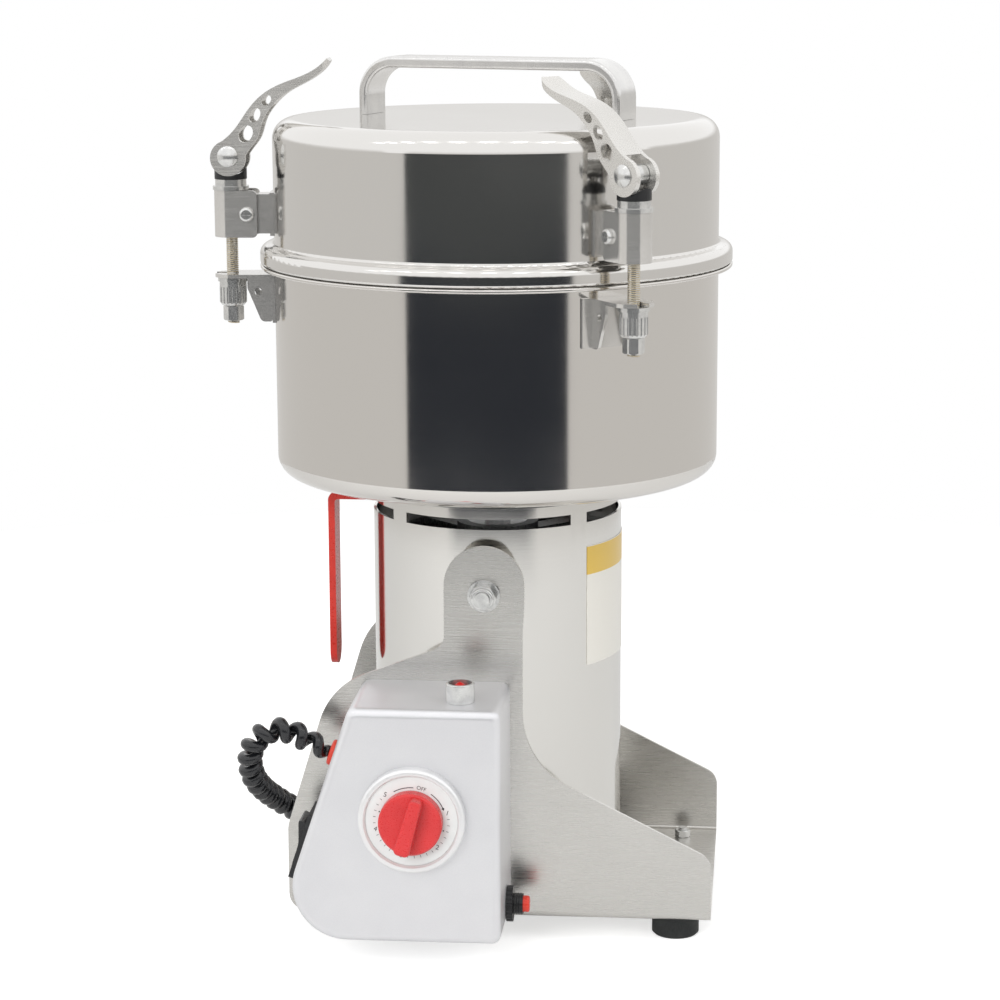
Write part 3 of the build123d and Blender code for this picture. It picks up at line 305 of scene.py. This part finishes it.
def mouldedPlastic(name, base, dark, roughness, grain, depth, patch=12, swing=(0.8, 1.25), **sockets):
    # injection moulded: an even colour whose gloss breaks up over the mould's texture
    material, tree, surface, place = startMaterial(name, base, roughness, **sockets)
    cloud = addNode(tree, "ShaderNodeTexNoise", {"Vector": place, "Scale": 1 / (patch * mm), "Detail": 3.0})
    skin = addNode(tree, "ShaderNodeTexNoise", {"Vector": place, "Scale": 1 / (grain * mm), "Detail": 3.0})
    mottle(tree, cloud, dark, base, surface["Base Color"])
    addNode(tree, "ShaderNodeMapRange", {
        "Value": skin, "From Min": noiseLow, "From Max": noiseHigh, "To Min": roughness * swing[0],
        "To Max": roughness * swing[1]}, to=surface["Roughness"])
    addNode(tree, "ShaderNodeBump", {"Height": skin, "Distance": depth * mm}, to=surface["Normal"])
    return material


def stickerPaper(name, paper, band, low, high, dust="b9b4a6", dustShare=0.1, fibreSize=0.8, depth=0.01):
    # cream label under clear film, with a bare yellow band between the heights low and high, in mm
    material, tree, surface, place = startMaterial(name, paper, 0.35, Coat_Weight=0.3, Coat_Roughness=0.15)
    height = addNode(tree, "ShaderNodeSeparateXYZ", {0: place}, "Z")
    above = addNode(tree, "ShaderNodeMath", {0: height, 1: low * mm}, operation="GREATER_THAN")
    below = addNode(tree, "ShaderNodeMath", {0: height, 1: high * mm}, operation="LESS_THAN")
    within = addNode(tree, "ShaderNodeMath", {0: above, 1: below}, operation="MULTIPLY")
    printed = addNode(tree, "ShaderNodeMix", {
        0: within, 6: hexColour(paper), 7: hexColour(band)}, 2, data_type="RGBA")
    fibre = addNode(tree, "ShaderNodeTexNoise", {
        "Vector": place, "Scale": 1 / (fibreSize * mm), "Detail": 4.0})
    dusted = addNode(tree, "ShaderNodeMath", {0: fibre, 1: dustShare}, operation="MULTIPLY")
    addNode(tree, "ShaderNodeMix", {0: dusted, 6: printed, 7: hexColour(dust)}, 2, surface["Base Color"],
            data_type="RGBA")
    addNode(tree, "ShaderNodeBump", {"Height": fibre, "Distance": depth * mm}, to=surface["Normal"])
    return material


# for each material slot: its shades and roughness, then, in mm, its pattern's size and depth if it takes them
finishes = {
    "yoke": brushedSteel("satinYokeSheet", "dad8d4", "d2d0cc", 0.27, 0.45, 0.0004),
    "feet": mouldedPlastic("mouldedFootRubber", "2a2c2b", "1d1f1f", 0.62, 0.8, 0.03),
    "fasteners": platedSteel("zincPlatedSteel", "e2e2e0", "cfcfce", 0.2, 4.0, metallic=0.85),
    "control_box": silverLacquer("silverBoxLacquer", "eaeaec", "e2e2e5"),
    "timer_body": mouldedPlastic("timerPhenolic", "2a2724", "1c1a18", 0.5, 0.6, 0.02),
    "dial_ring": silverLacquer("silverDialLacquer", "f4f4f4", "eeeeef"),
    "dial_plate": mouldedPlastic("printedDialFace", "e3e9e8", "dde3e2", 0.4, 0.5, 0.004),
    "timer_knob": mouldedPlastic("redKnobABS", "d9383a", "d03234", 0.3, 0.7, 0.008, Subsurface_Weight=0.1),
    "lamp_lens": mouldedPlastic("redLampLens", "ea2a22", "d61f1c", 0.1, 1.0, 0.002, Transmission_Weight=0.2),
    "breaker_body": mouldedPlastic("breakerNylon", "232325", "19191b", 0.3, 0.6, 0.01),
    "breaker_button": mouldedPlastic("redButtonABS", "e8402e", "da3828", 0.25, 0.7, 0.008),
    "switch_frame": mouldedPlastic("switchFrameNylon", "2a2a2b", "202022", 0.45, 0.4, 0.015),
    "switch_rocker": mouldedPlastic("glossRockerABS", "242426", "1b1b1e", 0.2, 0.8, 0.006),
    "gland": mouldedPlastic("redGlandPVC", "dd4a38", "cf3f30", 0.3, 0.8, 0.01),
    "motor_lead": mouldedPlastic("curledCordPVC", "1c1d20", "141518", 0.26, 0.7, 0.01, Coat_Weight=0.35),
    "barrel": spunSteel("polishedBarrelSteel", "dddbd7", 0.1, 0.5, 0.0015),
    "barrel_cover": mouldedPlastic("ventedCoverNylon", "1d1e20", "151618", 0.5, 0.7, 0.02),
    "bowl_seat": castMetal("tumbledCastAluminium", "b9babb", "8f9192", 0.42, 1.2),
    "bowl": spunSteel("spunBowlSteel", "dedbd7", 0.09, 0.6, 0.0015),
    "lid": spunSteel("spunLidSteel", "e0dedb", 0.1, 0.6, 0.0015),
    "lid_seal": mouldedPlastic("siliconeSeal", "d9d8d2", "c9c8c1", 0.5, 0.8, 0.01, Subsurface_Weight=0.1),
    "lid_handle": platedSteel("chromedHandle", "e4e3e1", "dad9d8", 0.16, 14.0, metallic=0.88),
    "pour_handle": mouldedPlastic("dippedHandlePVC", "d8392e", "ca3127", 0.3, 1.2, 0.03),
    "label": stickerPaper("blankStickerPaper", "ebe8e0", "e3bd4c", 190.6, 205.7),  # the band's heights
    "iron_core": laminatedIron("laminatedMotorIron"),
    "windings": enamelledCopper("enamelledCopperWire"),
    "shaft_steel": brushedSteel("groundShaftSteel", "c8c8c8", "b9b9b9", 0.2, 0.3, 0.003, along=(0, 0, 1)),
    "blade_steel": brushedSteel("groundBladeSteel", "cfcfcd", "bdbdbb", 0.18, 0.4, 0.005),
    "shaft_seal": mouldedPlastic("nitrileSeal", "1b1b1b", "121212", 0.55, 0.8, 0.01),
    "latch_steel": brushedSteel("polishedLatchStrip", "dfddda", "cfcdc9", 0.17, 0.5, 0.0015, metallic=0.74),
    "cam_pads": mouldedPlastic("wearPadNylon", "1b1c1e", "111214", 0.4, 0.6, 0.01),
    "lever_steel": brushedSteel("pressedLeverSteel", "e4e2de", "d6d4d0", 0.27, 0.4, 0.002, metallic=0.8),
}

for node, piece in nodes.items():
    slotName = next(part["material_slot"] for part in frame["record"]["subparts"] if part["node"] == node)
    piece.data.materials.clear()
    piece.data.materials.append(finishes[slotName])
print("materials on", len(nodes), "nodes")


leadSet = {
    "cord": 6.0,  # mm across the cord itself
    "coil": 3.7,  # mm from the coil's middle to the cord's middle
    "pitch": 6.9,  # mm between turns where the coil is straight
    "loosePitch": 11.0,  # mm between turns where the cord leaves the box
    "looseRun": 30.0,  # mm over which it tightens
    "open": 3.9,  # mm: the turns open by 1 / (1 - open * curvature) in a bend
    "mostOpen": 0.45,  # the most that open * curvature may be
    "sample": 0.25,  # mm between the places that the coil is worked out at
    "reach": 8,  # samples each way that a bend is measured over
    "steps": 26,  # the most points in a turn; the samples leave about 16
    "sides": 14,
    "ramp": 7.0,  # mm over which the coil starts and ends
}
leadRoute = [  # mm, as in the part's source
    (-77.6, -105.0, 109.1), (-85.2, -105.0, 111.63), (-94.0, -109.0, 119.6), (-105.5, -111.5, 122.8),
    (-115.2, -111.5, 116.7), (-119.6, -108.0, 105.3), (-118.9, -100.5, 93.0), (-116.0, -90.0, 83.6),
    (-111.8, -79.0, 75.6), (-106.0, -70.2, 68.2), (-96.6, -63.2, 61.2), (-86.3, -57.6, 55.8),
    (-75.9, -52.1, 52.9), (-66.35, -46.46, 52.0), (-58.9, -41.24, 52.0),
]


def splinePoints(route):
    # the smooth line through a route, as Blender samples its NURBS spline
    data = bpy.data.curves.new("leadLine", "CURVE")
    data.dimensions = "3D"
    data.resolution_u = 40
    spline = data.splines.new("NURBS")
    spline.points.add(len(route) - 1)
    for point, place in zip(spline.points, route):
        point.co = (*(c * mm for c in place), 1.0)
    spline.order_u = 3
    spline.use_endpoint_u = True
    line = bpy.data.objects.new("leadLine", data)
    bpy.context.scene.collection.objects.link(line)
    mesh = bpy.data.meshes.new_from_object(line.evaluated_get(bpy.context.evaluated_depsgraph_get()))
    points = [v.co.copy() for v in mesh.vertices]
    bpy.data.objects.remove(line, do_unlink=True)
    bpy.data.meshes.remove(mesh)
    return points


def walk(points, step):
    # evenly spaced places on a polyline
    out, carried = [points[0]], 0.0
    for a, b in zip(points, points[1:]):
        length = (b - a).length
        along = step - carried
        while along <= length:
            out.append(a.lerp(b, along / length))
            along += step
        carried = (carried + length) % step
    return out


def carriedFrames(points):
    # a tangent and a side at each point, with no twist between neighbours
    frames = []
    side = Vector((0, 1, 0))
    for i in range(len(points)):
        tangent = (points[min(i + 1, len(points) - 1)] - points[max(i - 1, 0)]).normalized()
        side = (side - tangent * side.dot(tangent)).normalized()
        frames.append((tangent, side.copy(), tangent.cross(side)))
    return frames


def tubeMesh(name, points, radius, sides):
    mesh = bmesh.new()
    rings = []
    for point, (_, side, up) in zip(points, carriedFrames(points)):
        turns = [2 * pi * k / sides for k in range(sides)]
        rings.append([mesh.verts.new(point + (side * cos(t) + up * sin(t)) * radius) for t in turns])
    for a, b in zip(rings, rings[1:]):
        for k in range(sides):
            mesh.faces.new((a[k], a[(k + 1) % sides], b[(k + 1) % sides], b[k]))
    mesh.faces.new(rings[0])
    mesh.faces.new(rings[-1][::-1])
    bmesh.ops.recalc_face_normals(mesh, faces=mesh.faces)
    data = meshFrom(mesh, name)
    data.polygons.foreach_set("use_smooth", [len(p.vertices) == 4 for p in data.polygons])
    return data


def smoothStep(t):
    t = max(0.0, min(1.0, t))
    return t * t * (3 - 2 * t)


def makeLead(settings, route):
    step = settings["sample"] * mm
    line = walk(splinePoints(route), step)
    frames = carriedFrames(line)
    total = step * (len(line) - 1)
    reach = settings["reach"]
    rampRun = settings["ramp"] * mm
    turned, phase, lastPhase = [line[0].copy()], 0.0, 0.0
    for i in range(1, len(line)):
        a, b = frames[max(i - reach, 0)][0], frames[min(i + reach, len(line) - 1)][0]
        span = step * (min(i + reach, len(line) - 1) - max(i - reach, 0))
        curvature = a.angle(b) / span
        along = i * step
        loose = 1 - smoothStep(along / (settings["looseRun"] * mm))
        pitch = settings["pitch"] + (settings["loosePitch"] - settings["pitch"]) * loose
        opened = min(settings["mostOpen"], settings["open"] * mm * curvature)
        phase += 2 * pi * step * (1 - opened) / (pitch * mm)
        ramp = smoothStep(along / rampRun) * smoothStep((total - along) / rampRun)
        if phase - lastPhase >= 2 * pi / settings["steps"]:
            _, side, up = frames[i]
            out = (side * cos(phase) + up * sin(phase)) * settings["coil"] * mm * ramp
            turned.append(line[i] + out)
            lastPhase = phase
    turned[-1] = line[-1].copy()
    print("lead:", round(phase / (2 * pi), 1), "turns,",
          round(sum((b - a).length for a, b in zip(turned, turned[1:])) / mm), "mm of cord")
    return turned


leadPoints = makeLead(leadSet, leadRoute)
leadMesh = tubeMesh("curlyMotorLead", leadPoints, leadSet["cord"] / 2 * mm, leadSet["sides"])
curlyLead = meshPiece("curlyMotorLead", leadMesh, finishes["motor_lead"])
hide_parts("motor_lead")
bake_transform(curlyLead)
print("motor lead made")


threadSet = {  # mm
    "pitch": 1.05,
    "radius": 2.9,  # of the line that the ridge winds along
    "ridge": 0.4,  # half the ridge's width
    "below": 0.3,  # how far under the strap the thread stops
    "breakerPitch": 1.3,
    "breakerRadius": 5.3,
    "breakerRidge": 0.45,
    "breakerNut": 3.9,  # from the box to where the collar's thread starts
    "breakerEnd": 0.5,  # how far before the collar's end it stops
}


def threadTree(name, material):
    # a ridge that winds up a rod
    tree, given = startTree(name, {
        "Radius": ("NodeSocketFloat", 0.003), "Ridge": ("NodeSocketFloat", 0.0004),
        "Turns": ("NodeSocketFloat", 40.0), "Height": ("NodeSocketFloat", 0.04)})
    spiral = addNode(tree, "GeometryNodeCurveSpiral", {
        "Resolution": 18, "Rotations": given["Turns"], "Start Radius": given["Radius"],
        "End Radius": given["Radius"], "Height": given["Height"]})
    ridge = addNode(tree, "GeometryNodeCurvePrimitiveCircle", {"Resolution": 4, "Radius": given["Ridge"]},
                    mode="RADIUS")
    swept = addNode(tree, "GeometryNodeCurveToMesh", {
        "Curve": spiral, "Profile Curve": ridge, "Fill Caps": True})
    endTree(tree, swept, material)
    return tree


def makeRodThreads(settings):
    # one thread for each latch rod, from the rod's lower end up to the strap
    material = platedSteel("yellowZincThread", "d6cbb4", "bdae90", 0.3, 2.0)
    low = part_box("latch_rods")[0]
    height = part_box("latch_straps")[0].z - low.z - settings["below"] * mm
    mesh = bakedFrom(threadTree("rodThread", material), "rodThreads", {
        "Radius": settings["radius"] * mm, "Ridge": settings["ridge"] * mm,
        "Turns": height / (settings["pitch"] * mm), "Height": height})
    whole = bmesh.new()
    for number in (1, 2, 3):
        nutLow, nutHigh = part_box(f"clamp_nut_{number}")
        middle = (nutLow + nutHigh) / 2
        copy = mesh.copy()
        copy.transform(Matrix.Translation((middle.x, middle.y, low.z)))
        whole.from_mesh(copy)
    bmesh.ops.recalc_face_normals(whole, faces=whole.faces)
    meshPiece("latchRodThreads", meshFrom(whole, "latchRodThreads"), material, "grinder")


def makeBreakerThread(settings):
    # the breaker's collar is threaded from its ribbed nut to its end
    material = finishes["breaker_body"]
    low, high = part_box("breaker_button")
    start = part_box("control_box")[1].x + settings["breakerNut"] * mm
    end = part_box("breaker_body")[1].x - settings["breakerEnd"] * mm
    mesh = bakedFrom(threadTree("breakerThread", material), "breakerThreads", {
        "Radius": settings["breakerRadius"] * mm, "Ridge": settings["breakerRidge"] * mm,
        "Turns": (end - start) / (settings["breakerPitch"] * mm), "Height": end - start})
    middle = (low + high) / 2
    mesh.transform(Matrix.Translation((start, middle.y, middle.z)) @ Matrix.Rotation(pi / 2, 4, "Y"))
    whole = bmesh.new()
    whole.from_mesh(mesh)
    bmesh.ops.recalc_face_normals(whole, faces=whole.faces)
    meshPiece("breakerThread", meshFrom(whole, "breakerThread"), material, "stand")


makeRodThreads(threadSet)
makeBreakerThread(threadSet)
print("threads made")


dialSet = {
    "centre": (-31.0, 84.0),  # mm, X and Z
    "turn": 16.0,  # degrees clockwise
    "raise": 0.06,  # mm that the print stands on the face
    "digits": 18.9,  # mm from the centre
    "digitHeight": 2.5,
    "digitTurn": 60,  # degrees from one to the next
    "off": (17.9, 1.0, 0.8),  # the word's radius, its angle and its height as a share of a digit's
    "capital": 0.7,  # a capital's height as a share of the font's size
    "ticks": (18.3, 19.6, 0.22),  # inner and outer radius, width
    "dots": (16.9, 0.33),  # radius of their circle, half their side
    "arcs": ((-46.0, -12.0), (19.0, 50.0)),  # degrees; the second has an arrowhead
    "arcRadius": 17.6,
    "arcWidth": 0.42,
    "arcSteps": 16,
    "head": (1.8, 4.5, 0.02),  # half its width in arc widths, its length in degrees, half its tip in mm
}
ink = mouldedPlastic("dialInk", "26262a", "1c1c20", 0.45, 0.5, 0.002)
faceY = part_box("dial_plate")[0].y


def dialPlace(radius, angle):
    turn = radians(angle + dialSet["turn"])
    x, z = dialSet["centre"]
    return Vector((x * mm + radius * mm * sin(turn), faceY, z * mm + radius * mm * cos(turn)))


def dialWord(text, height, radius, angle):
    curve = bpy.data.curves.new("word", "FONT")
    curve.body = text
    curve.align_x = "CENTER"
    curve.align_y = "CENTER"
    curve.size = height * mm / dialSet["capital"]
    curve.extrude = dialSet["raise"] * mm / 2
    curve.resolution_u = 3
    word = bpy.data.objects.new("word", curve)
    bpy.context.scene.collection.objects.link(word)
    mesh = bpy.data.meshes.new_from_object(word.evaluated_get(bpy.context.evaluated_depsgraph_get()))
    bpy.data.objects.remove(word, do_unlink=True)
    turn = radians(dialSet["turn"])
    mesh.transform(Matrix.Translation(dialPlace(radius, angle)) @ Matrix.Rotation(turn, 4, "Y")
                   @ Matrix.Rotation(pi / 2, 4, "X"))
    return mesh


def dialArc(fromAngle, toAngle, radius, width, head):
    # a thin closed band on the face, with an arrowhead at its end if asked
    mesh = bmesh.new()
    count = dialSet["arcSteps"]
    lift = Vector((0, -dialSet["raise"] * mm, 0))
    profile = []
    for i in range(count + 1):
        angle = fromAngle + (toAngle - fromAngle) * i / count
        profile.append((dialPlace(radius - width / 2, angle), dialPlace(radius + width / 2, angle)))
    if head:
        widen, length, tip = dialSet["head"]
        for half, angle in ((width * widen, toAngle), (tip, toAngle + length)):
            profile.append((dialPlace(radius - half, angle), dialPlace(radius + half, angle)))
    rows = [[mesh.verts.new(p) for p in (a, b, b + lift, a + lift)] for a, b in profile]
    for first, second in zip(rows, rows[1:]):
        for k in range(4):
            mesh.faces.new((first[k], first[(k + 1) % 4], second[(k + 1) % 4], second[k]))
    mesh.faces.new(rows[0])
    mesh.faces.new(rows[-1][::-1])
    bmesh.ops.recalc_face_normals(mesh, faces=mesh.faces)
    return meshFrom(mesh, "dialArc")


def markTree(material):
    # small bars round a circle, between First and Last, with every Keep-th step left for a digit
    tree, given = startTree("dialMarks", {
        "Count": ("NodeSocketInt", 36), "Radius": ("NodeSocketFloat", 0.019),
        "Size": ("NodeSocketVector", (0.0002, 0.0013, 0.0001)), "Keep": ("NodeSocketInt", 6),
        "First": ("NodeSocketInt", 0), "Last": ("NodeSocketInt", 36)})
    line = addNode(tree, "GeometryNodeMeshLine", {"Count": given["Count"], "Offset": (0.0, 0.0, 0.0)})
    index = addNode(tree, "GeometryNodeInputIndex")
    step = addNode(tree, "ShaderNodeMath", {0: 2 * pi, 1: given["Count"]}, operation="DIVIDE")
    angle = addNode(tree, "ShaderNodeMath", {0: index, 1: step}, operation="MULTIPLY")
    across = addNode(tree, "ShaderNodeMath", {0: angle}, operation="SINE")
    upward = addNode(tree, "ShaderNodeMath", {0: angle}, operation="COSINE")
    x = addNode(tree, "ShaderNodeMath", {0: across, 1: given["Radius"]}, operation="MULTIPLY")
    y = addNode(tree, "ShaderNodeMath", {0: upward, 1: given["Radius"]}, operation="MULTIPLY")
    place = addNode(tree, "ShaderNodeCombineXYZ", {"X": x, "Y": y})
    moved = addNode(tree, "GeometryNodeSetPosition", {"Geometry": line, "Position": place})
    bar = addNode(tree, "GeometryNodeMeshCube", {"Size": given["Size"]})
    back = addNode(tree, "ShaderNodeMath", {0: angle, 1: -1.0}, operation="MULTIPLY")
    turn = addNode(tree, "ShaderNodeCombineXYZ", {"Z": back})
    rest = addNode(tree, "ShaderNodeMath", {0: index, 1: given["Keep"]}, operation="MODULO")
    isMark = addNode(tree, "ShaderNodeMath", {0: rest, 1: 0.5}, operation="GREATER_THAN")
    after = addNode(tree, "ShaderNodeMath", {0: index, 1: given["First"]}, operation="GREATER_THAN")
    before = addNode(tree, "ShaderNodeMath", {0: index, 1: given["Last"]}, operation="LESS_THAN")
    inside = addNode(tree, "ShaderNodeMath", {0: after, 1: before}, operation="MULTIPLY")
    chosen = addNode(tree, "ShaderNodeMath", {0: isMark, 1: inside}, operation="MULTIPLY")
    bars = addNode(tree, "GeometryNodeInstanceOnPoints", {
        "Points": moved, "Selection": chosen, "Instance": bar, "Rotation": turn})
    endTree(tree, bars, material)
    return tree


def makeDialPrint(settings):
    marks = markTree(ink)
    inner, outer, width = settings["ticks"]
    onFace = (Matrix.Translation(dialPlace(0, 0)) @ Matrix.Rotation(radians(settings["turn"]), 4, "Y")
              @ Matrix.Rotation(pi / 2, 4, "X"))
    ticks = bakedFrom(marks, "ticks", {
        "Count": 36, "Radius": (inner + outer) / 2 * mm, "Keep": 6, "First": 6, "Last": 30,
        "Size": (width * mm, (outer - inner) * mm, settings["raise"] * mm * 2)})
    dotRadius, dot = settings["dots"]
    dots = bakedFrom(marks, "dots", {
        "Count": 12, "Radius": dotRadius * mm, "Keep": 2, "First": 2, "Last": 10,
        "Size": (2 * dot * mm, 2 * dot * mm, settings["raise"] * mm * 2)})
    whole = bmesh.new()
    for mesh in (ticks, dots):
        mesh.transform(onFace)
        whole.from_mesh(mesh)
    for number in range(1, 6):
        whole.from_mesh(dialWord(str(number), settings["digitHeight"], settings["digits"],
                                 settings["digitTurn"] * number))
    radius, angle, share = settings["off"]
    whole.from_mesh(dialWord("OFF", settings["digitHeight"] * share, radius, angle))
    for i, (first, last) in enumerate(settings["arcs"]):
        whole.from_mesh(dialArc(first, last, settings["arcRadius"], settings["arcWidth"], i == 1))
    meshPiece("dialPrint", meshFrom(whole, "dialPrint"), ink, "stand")


makeDialPrint(dialSet)
print("dial printed")


lensSet = {
    "radius": 4.4,  # mm
    "stem": 2.9,
    "dome": 7.4,  # mm from the widest ring to the tip
    "rings": ((0.0, 1.0), (2.2, 0.94), (4.6, 0.78), (6.4, 0.46)),  # mm up, share of the radius
    "facets": 12,
}


def makeLens(settings):
    low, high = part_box("lamp_lens")
    middle = (low + high) / 2
    rim = high.z - settings["dome"] * mm
    count = settings["facets"]
    mesh = bmesh.new()
    rows = []
    stemRing = [(settings["stem"] * mm, low.z), (settings["stem"] * mm, rim)]
    rings = stemRing + [(settings["radius"] * share * mm, rim + up * mm) for up, share in settings["rings"]]
    for i, (radius, z) in enumerate(rings):
        half = pi / count if i % 2 else 0.0  # every second ring is turned by half a facet
        turns = [2 * pi * k / count + half for k in range(count)]
        rows.append([mesh.verts.new((middle.x + radius * cos(t), middle.y + radius * sin(t), z))
                     for t in turns])
    tip = mesh.verts.new((middle.x, middle.y, high.z))
    for i, (a, b) in enumerate(zip(rows, rows[1:])):
        for k in range(count):
            n = (k + 1) % count
            if i % 2 == 0:
                mesh.faces.new((a[k], a[n], b[k]))
                mesh.faces.new((a[n], b[n], b[k]))
            else:
                mesh.faces.new((a[k], b[n], b[k]))
                mesh.faces.new((a[k], a[n], b[n]))
    for k in range(count):
        mesh.faces.new((rows[-1][k], rows[-1][(k + 1) % count], tip))
    mesh.faces.new(rows[0][::-1])
    bmesh.ops.recalc_face_normals(mesh, faces=mesh.faces)
    lens = meshPiece("facetedLampLens", meshFrom(mesh, "facetedLampLens"), finishes["lamp_lens"], "stand")
    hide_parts("lamp_lens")


makeLens(lensSet)
print("lamp lens made")


studioSet = {
    "floor": 1.05,  # metres: the radius of a round table
    "floorSides": 96,
    "floorColour": "e7e7e6",
    "floorWhite": 0.55,  # added for the camera, so that the floor is white and keeps a faint shadow
    "floorGlow": 0.1,  # added for what polished steel sees of it
    "side": "d8d6d3",  # what steel sees level with it and below
    "ceiling": 1.1,  # how bright it sees the room above
    "horizon": (0.04, 0.15),  # how far up, as a sine, the one turns into the other
    "sky": 0.72,  # the light that the room gives
    "card": (-1.21, 1.24, -0.14, 0.42, -1.45),  # metres: left, right, low, high, Y
    "cardLow": "2e3137",  # what the bowl sees in it
    "cardHigh": "494b4b",  # what the lid sees
    "cardTurn": (0.15, 0.21),  # metres: the heights between which it changes
    "panels": {  # metres, with Y and Z as their place
        "count": 11, "apart": 0.42, "wide": 0.16, "long": 0.3, "place": (-1.0, 2.2), "glow": 3.5},
    "aim": (0, 0, 0.2),  # metres: where both lamps point
    "key": {"place": (-0.9, -2.3, 1.3), "power": 36.0, "size": 1.4},
    "fill": {"place": (1.8, -0.6, 1.6), "power": 9.0, "size": 1.2},
}


def makeWorld(settings):
    world = bpy.data.worlds.new("studio")
    bpy.context.scene.world = world
    tree = emptyTree(world)
    ray = addNode(tree, "ShaderNodeLightPath").node.outputs
    around = addNode(tree, "ShaderNodeTexCoord", take="Generated")
    upward = addNode(tree, "ShaderNodeSeparateXYZ", {0: around}, "Z")
    low, high = settings["horizon"]
    lift = addNode(tree, "ShaderNodeMapRange", {"Value": upward, "From Min": low, "From Max": high})
    tint = addNode(tree, "ShaderNodeMix", {
        0: lift, 6: hexColour(settings["side"]), 7: [settings["ceiling"]] * 3 + [1.0]}, 2, data_type="RGBA")
    room = addNode(tree, "ShaderNodeBackground", {"Color": tint})
    sky = addNode(tree, "ShaderNodeBackground", {"Color": (1, 1, 1, 1), "Strength": settings["sky"]})
    white = addNode(tree, "ShaderNodeBackground", {"Color": (1, 1, 1, 1)})
    mirrored = addNode(tree, "ShaderNodeMixShader", {0: ray["Is Glossy Ray"], 1: sky, 2: room})
    through = addNode(tree, "ShaderNodeMath", {
        0: ray["Is Camera Ray"], 1: ray["Is Transmission Ray"]}, operation="MAXIMUM")
    shown = addNode(tree, "ShaderNodeMixShader", {0: through, 1: mirrored, 2: white})
    addNode(tree, "ShaderNodeOutputWorld", {"Surface": shown})


def stagePiece(name, corners, faces, material):
    mesh = bpy.data.meshes.new(name)
    mesh.from_pydata([Vector(c) for c in corners], [], faces)
    piece = meshPiece(name, mesh, material)
    return piece


def glowMaterial(name, strength):
    material = bpy.data.materials.new(name)
    tree = emptyTree(material)
    glow = addNode(tree, "ShaderNodeEmission", {"Color": (1, 1, 1, 1), "Strength": strength})
    addNode(tree, "ShaderNodeOutputMaterial", {"Surface": glow})
    return material, tree, glow.node.inputs["Color"]


def makeFloor(settings):
    material = bpy.data.materials.new("paleFloor")
    tree = emptyTree(material)
    ray = addNode(tree, "ShaderNodeLightPath").node.outputs
    matt = addNode(tree, "ShaderNodeBsdfDiffuse", {"Color": hexColour(settings["floorColour"])})
    seen = addNode(tree, "ShaderNodeMath", {
        0: ray["Is Camera Ray"], 1: settings["floorWhite"]}, operation="MULTIPLY")
    mirrored = addNode(tree, "ShaderNodeMath", {
        0: ray["Is Glossy Ray"], 1: settings["floorGlow"]}, operation="MULTIPLY")
    added = addNode(tree, "ShaderNodeMath", {0: seen, 1: mirrored}, operation="ADD")
    glow = addNode(tree, "ShaderNodeEmission", {"Color": (1, 1, 1, 1), "Strength": added})
    lit = addNode(tree, "ShaderNodeAddShader", {0: matt, 1: glow})
    addNode(tree, "ShaderNodeOutputMaterial", {"Surface": lit})
    count = settings["floorSides"]
    turns = [2 * pi * k / count for k in range(count)]
    corners = [(settings["floor"] * cos(t), settings["floor"] * sin(t), 0) for t in turns]
    stagePiece("floor", corners, [tuple(range(count))], material)


def hideFromAllButMetal(piece):
    piece.visible_camera = piece.visible_diffuse = piece.visible_shadow = piece.visible_transmission = False


def makeCard(settings):
    # a dark opening that only polished metal sees, a little lighter in its upper part
    left, right, low, high, y = settings["card"]
    material, tree, colour = glowMaterial("darkCard", 1.0)
    place = addNode(tree, "ShaderNodeTexCoord", take="Object")
    height = addNode(tree, "ShaderNodeSeparateXYZ", {0: place}, "Z")
    mottle(tree, height, settings["cardLow"], settings["cardHigh"], colour, *settings["cardTurn"])
    corners = [(left, y, low), (left, y, high), (right, y, high), (right, y, low)]
    hideFromAllButMetal(stagePiece("darkCard", corners, [(0, 1, 2, 3)], material))


def makePanels(settings):
    # a row of bright ceiling panels that only polished metal sees
    y, z = settings["place"]
    half, deep = settings["wide"] / 2, settings["long"] / 2
    corners, faces = [], []
    for i in range(settings["count"]):
        x = (i - (settings["count"] - 1) / 2) * settings["apart"]
        faces.append(tuple(range(len(corners), len(corners) + 4)))
        corners += [(x - half, y - deep, z), (x - half, y + deep, z),
                    (x + half, y + deep, z), (x + half, y - deep, z)]
    material = glowMaterial("ceilingPanel", settings["glow"])[0]
    hideFromAllButMetal(stagePiece("ceilingPanels", corners, faces, material))


def makeLamp(name, settings, aim):
    data = bpy.data.lights.new(name, "AREA")
    data.energy = settings["power"]
    data.size = settings["size"]
    lamp = bpy.data.objects.new(name, data)
    lamp.location = settings["place"]
    lamp.rotation_euler = (Vector(aim) - lamp.location).to_track_quat("-Z", "Y").to_euler()
    lamp.visible_glossy = False
    bpy.context.scene.collection.objects.link(lamp)


makeWorld(studioSet)
makeFloor(studioSet)
makeCard(studioSet)
makePanels(studioSet["panels"])
for lampName in ("key", "fill"):
    makeLamp(lampName, studioSet[lampName], studioSet["aim"])
print("studio made")
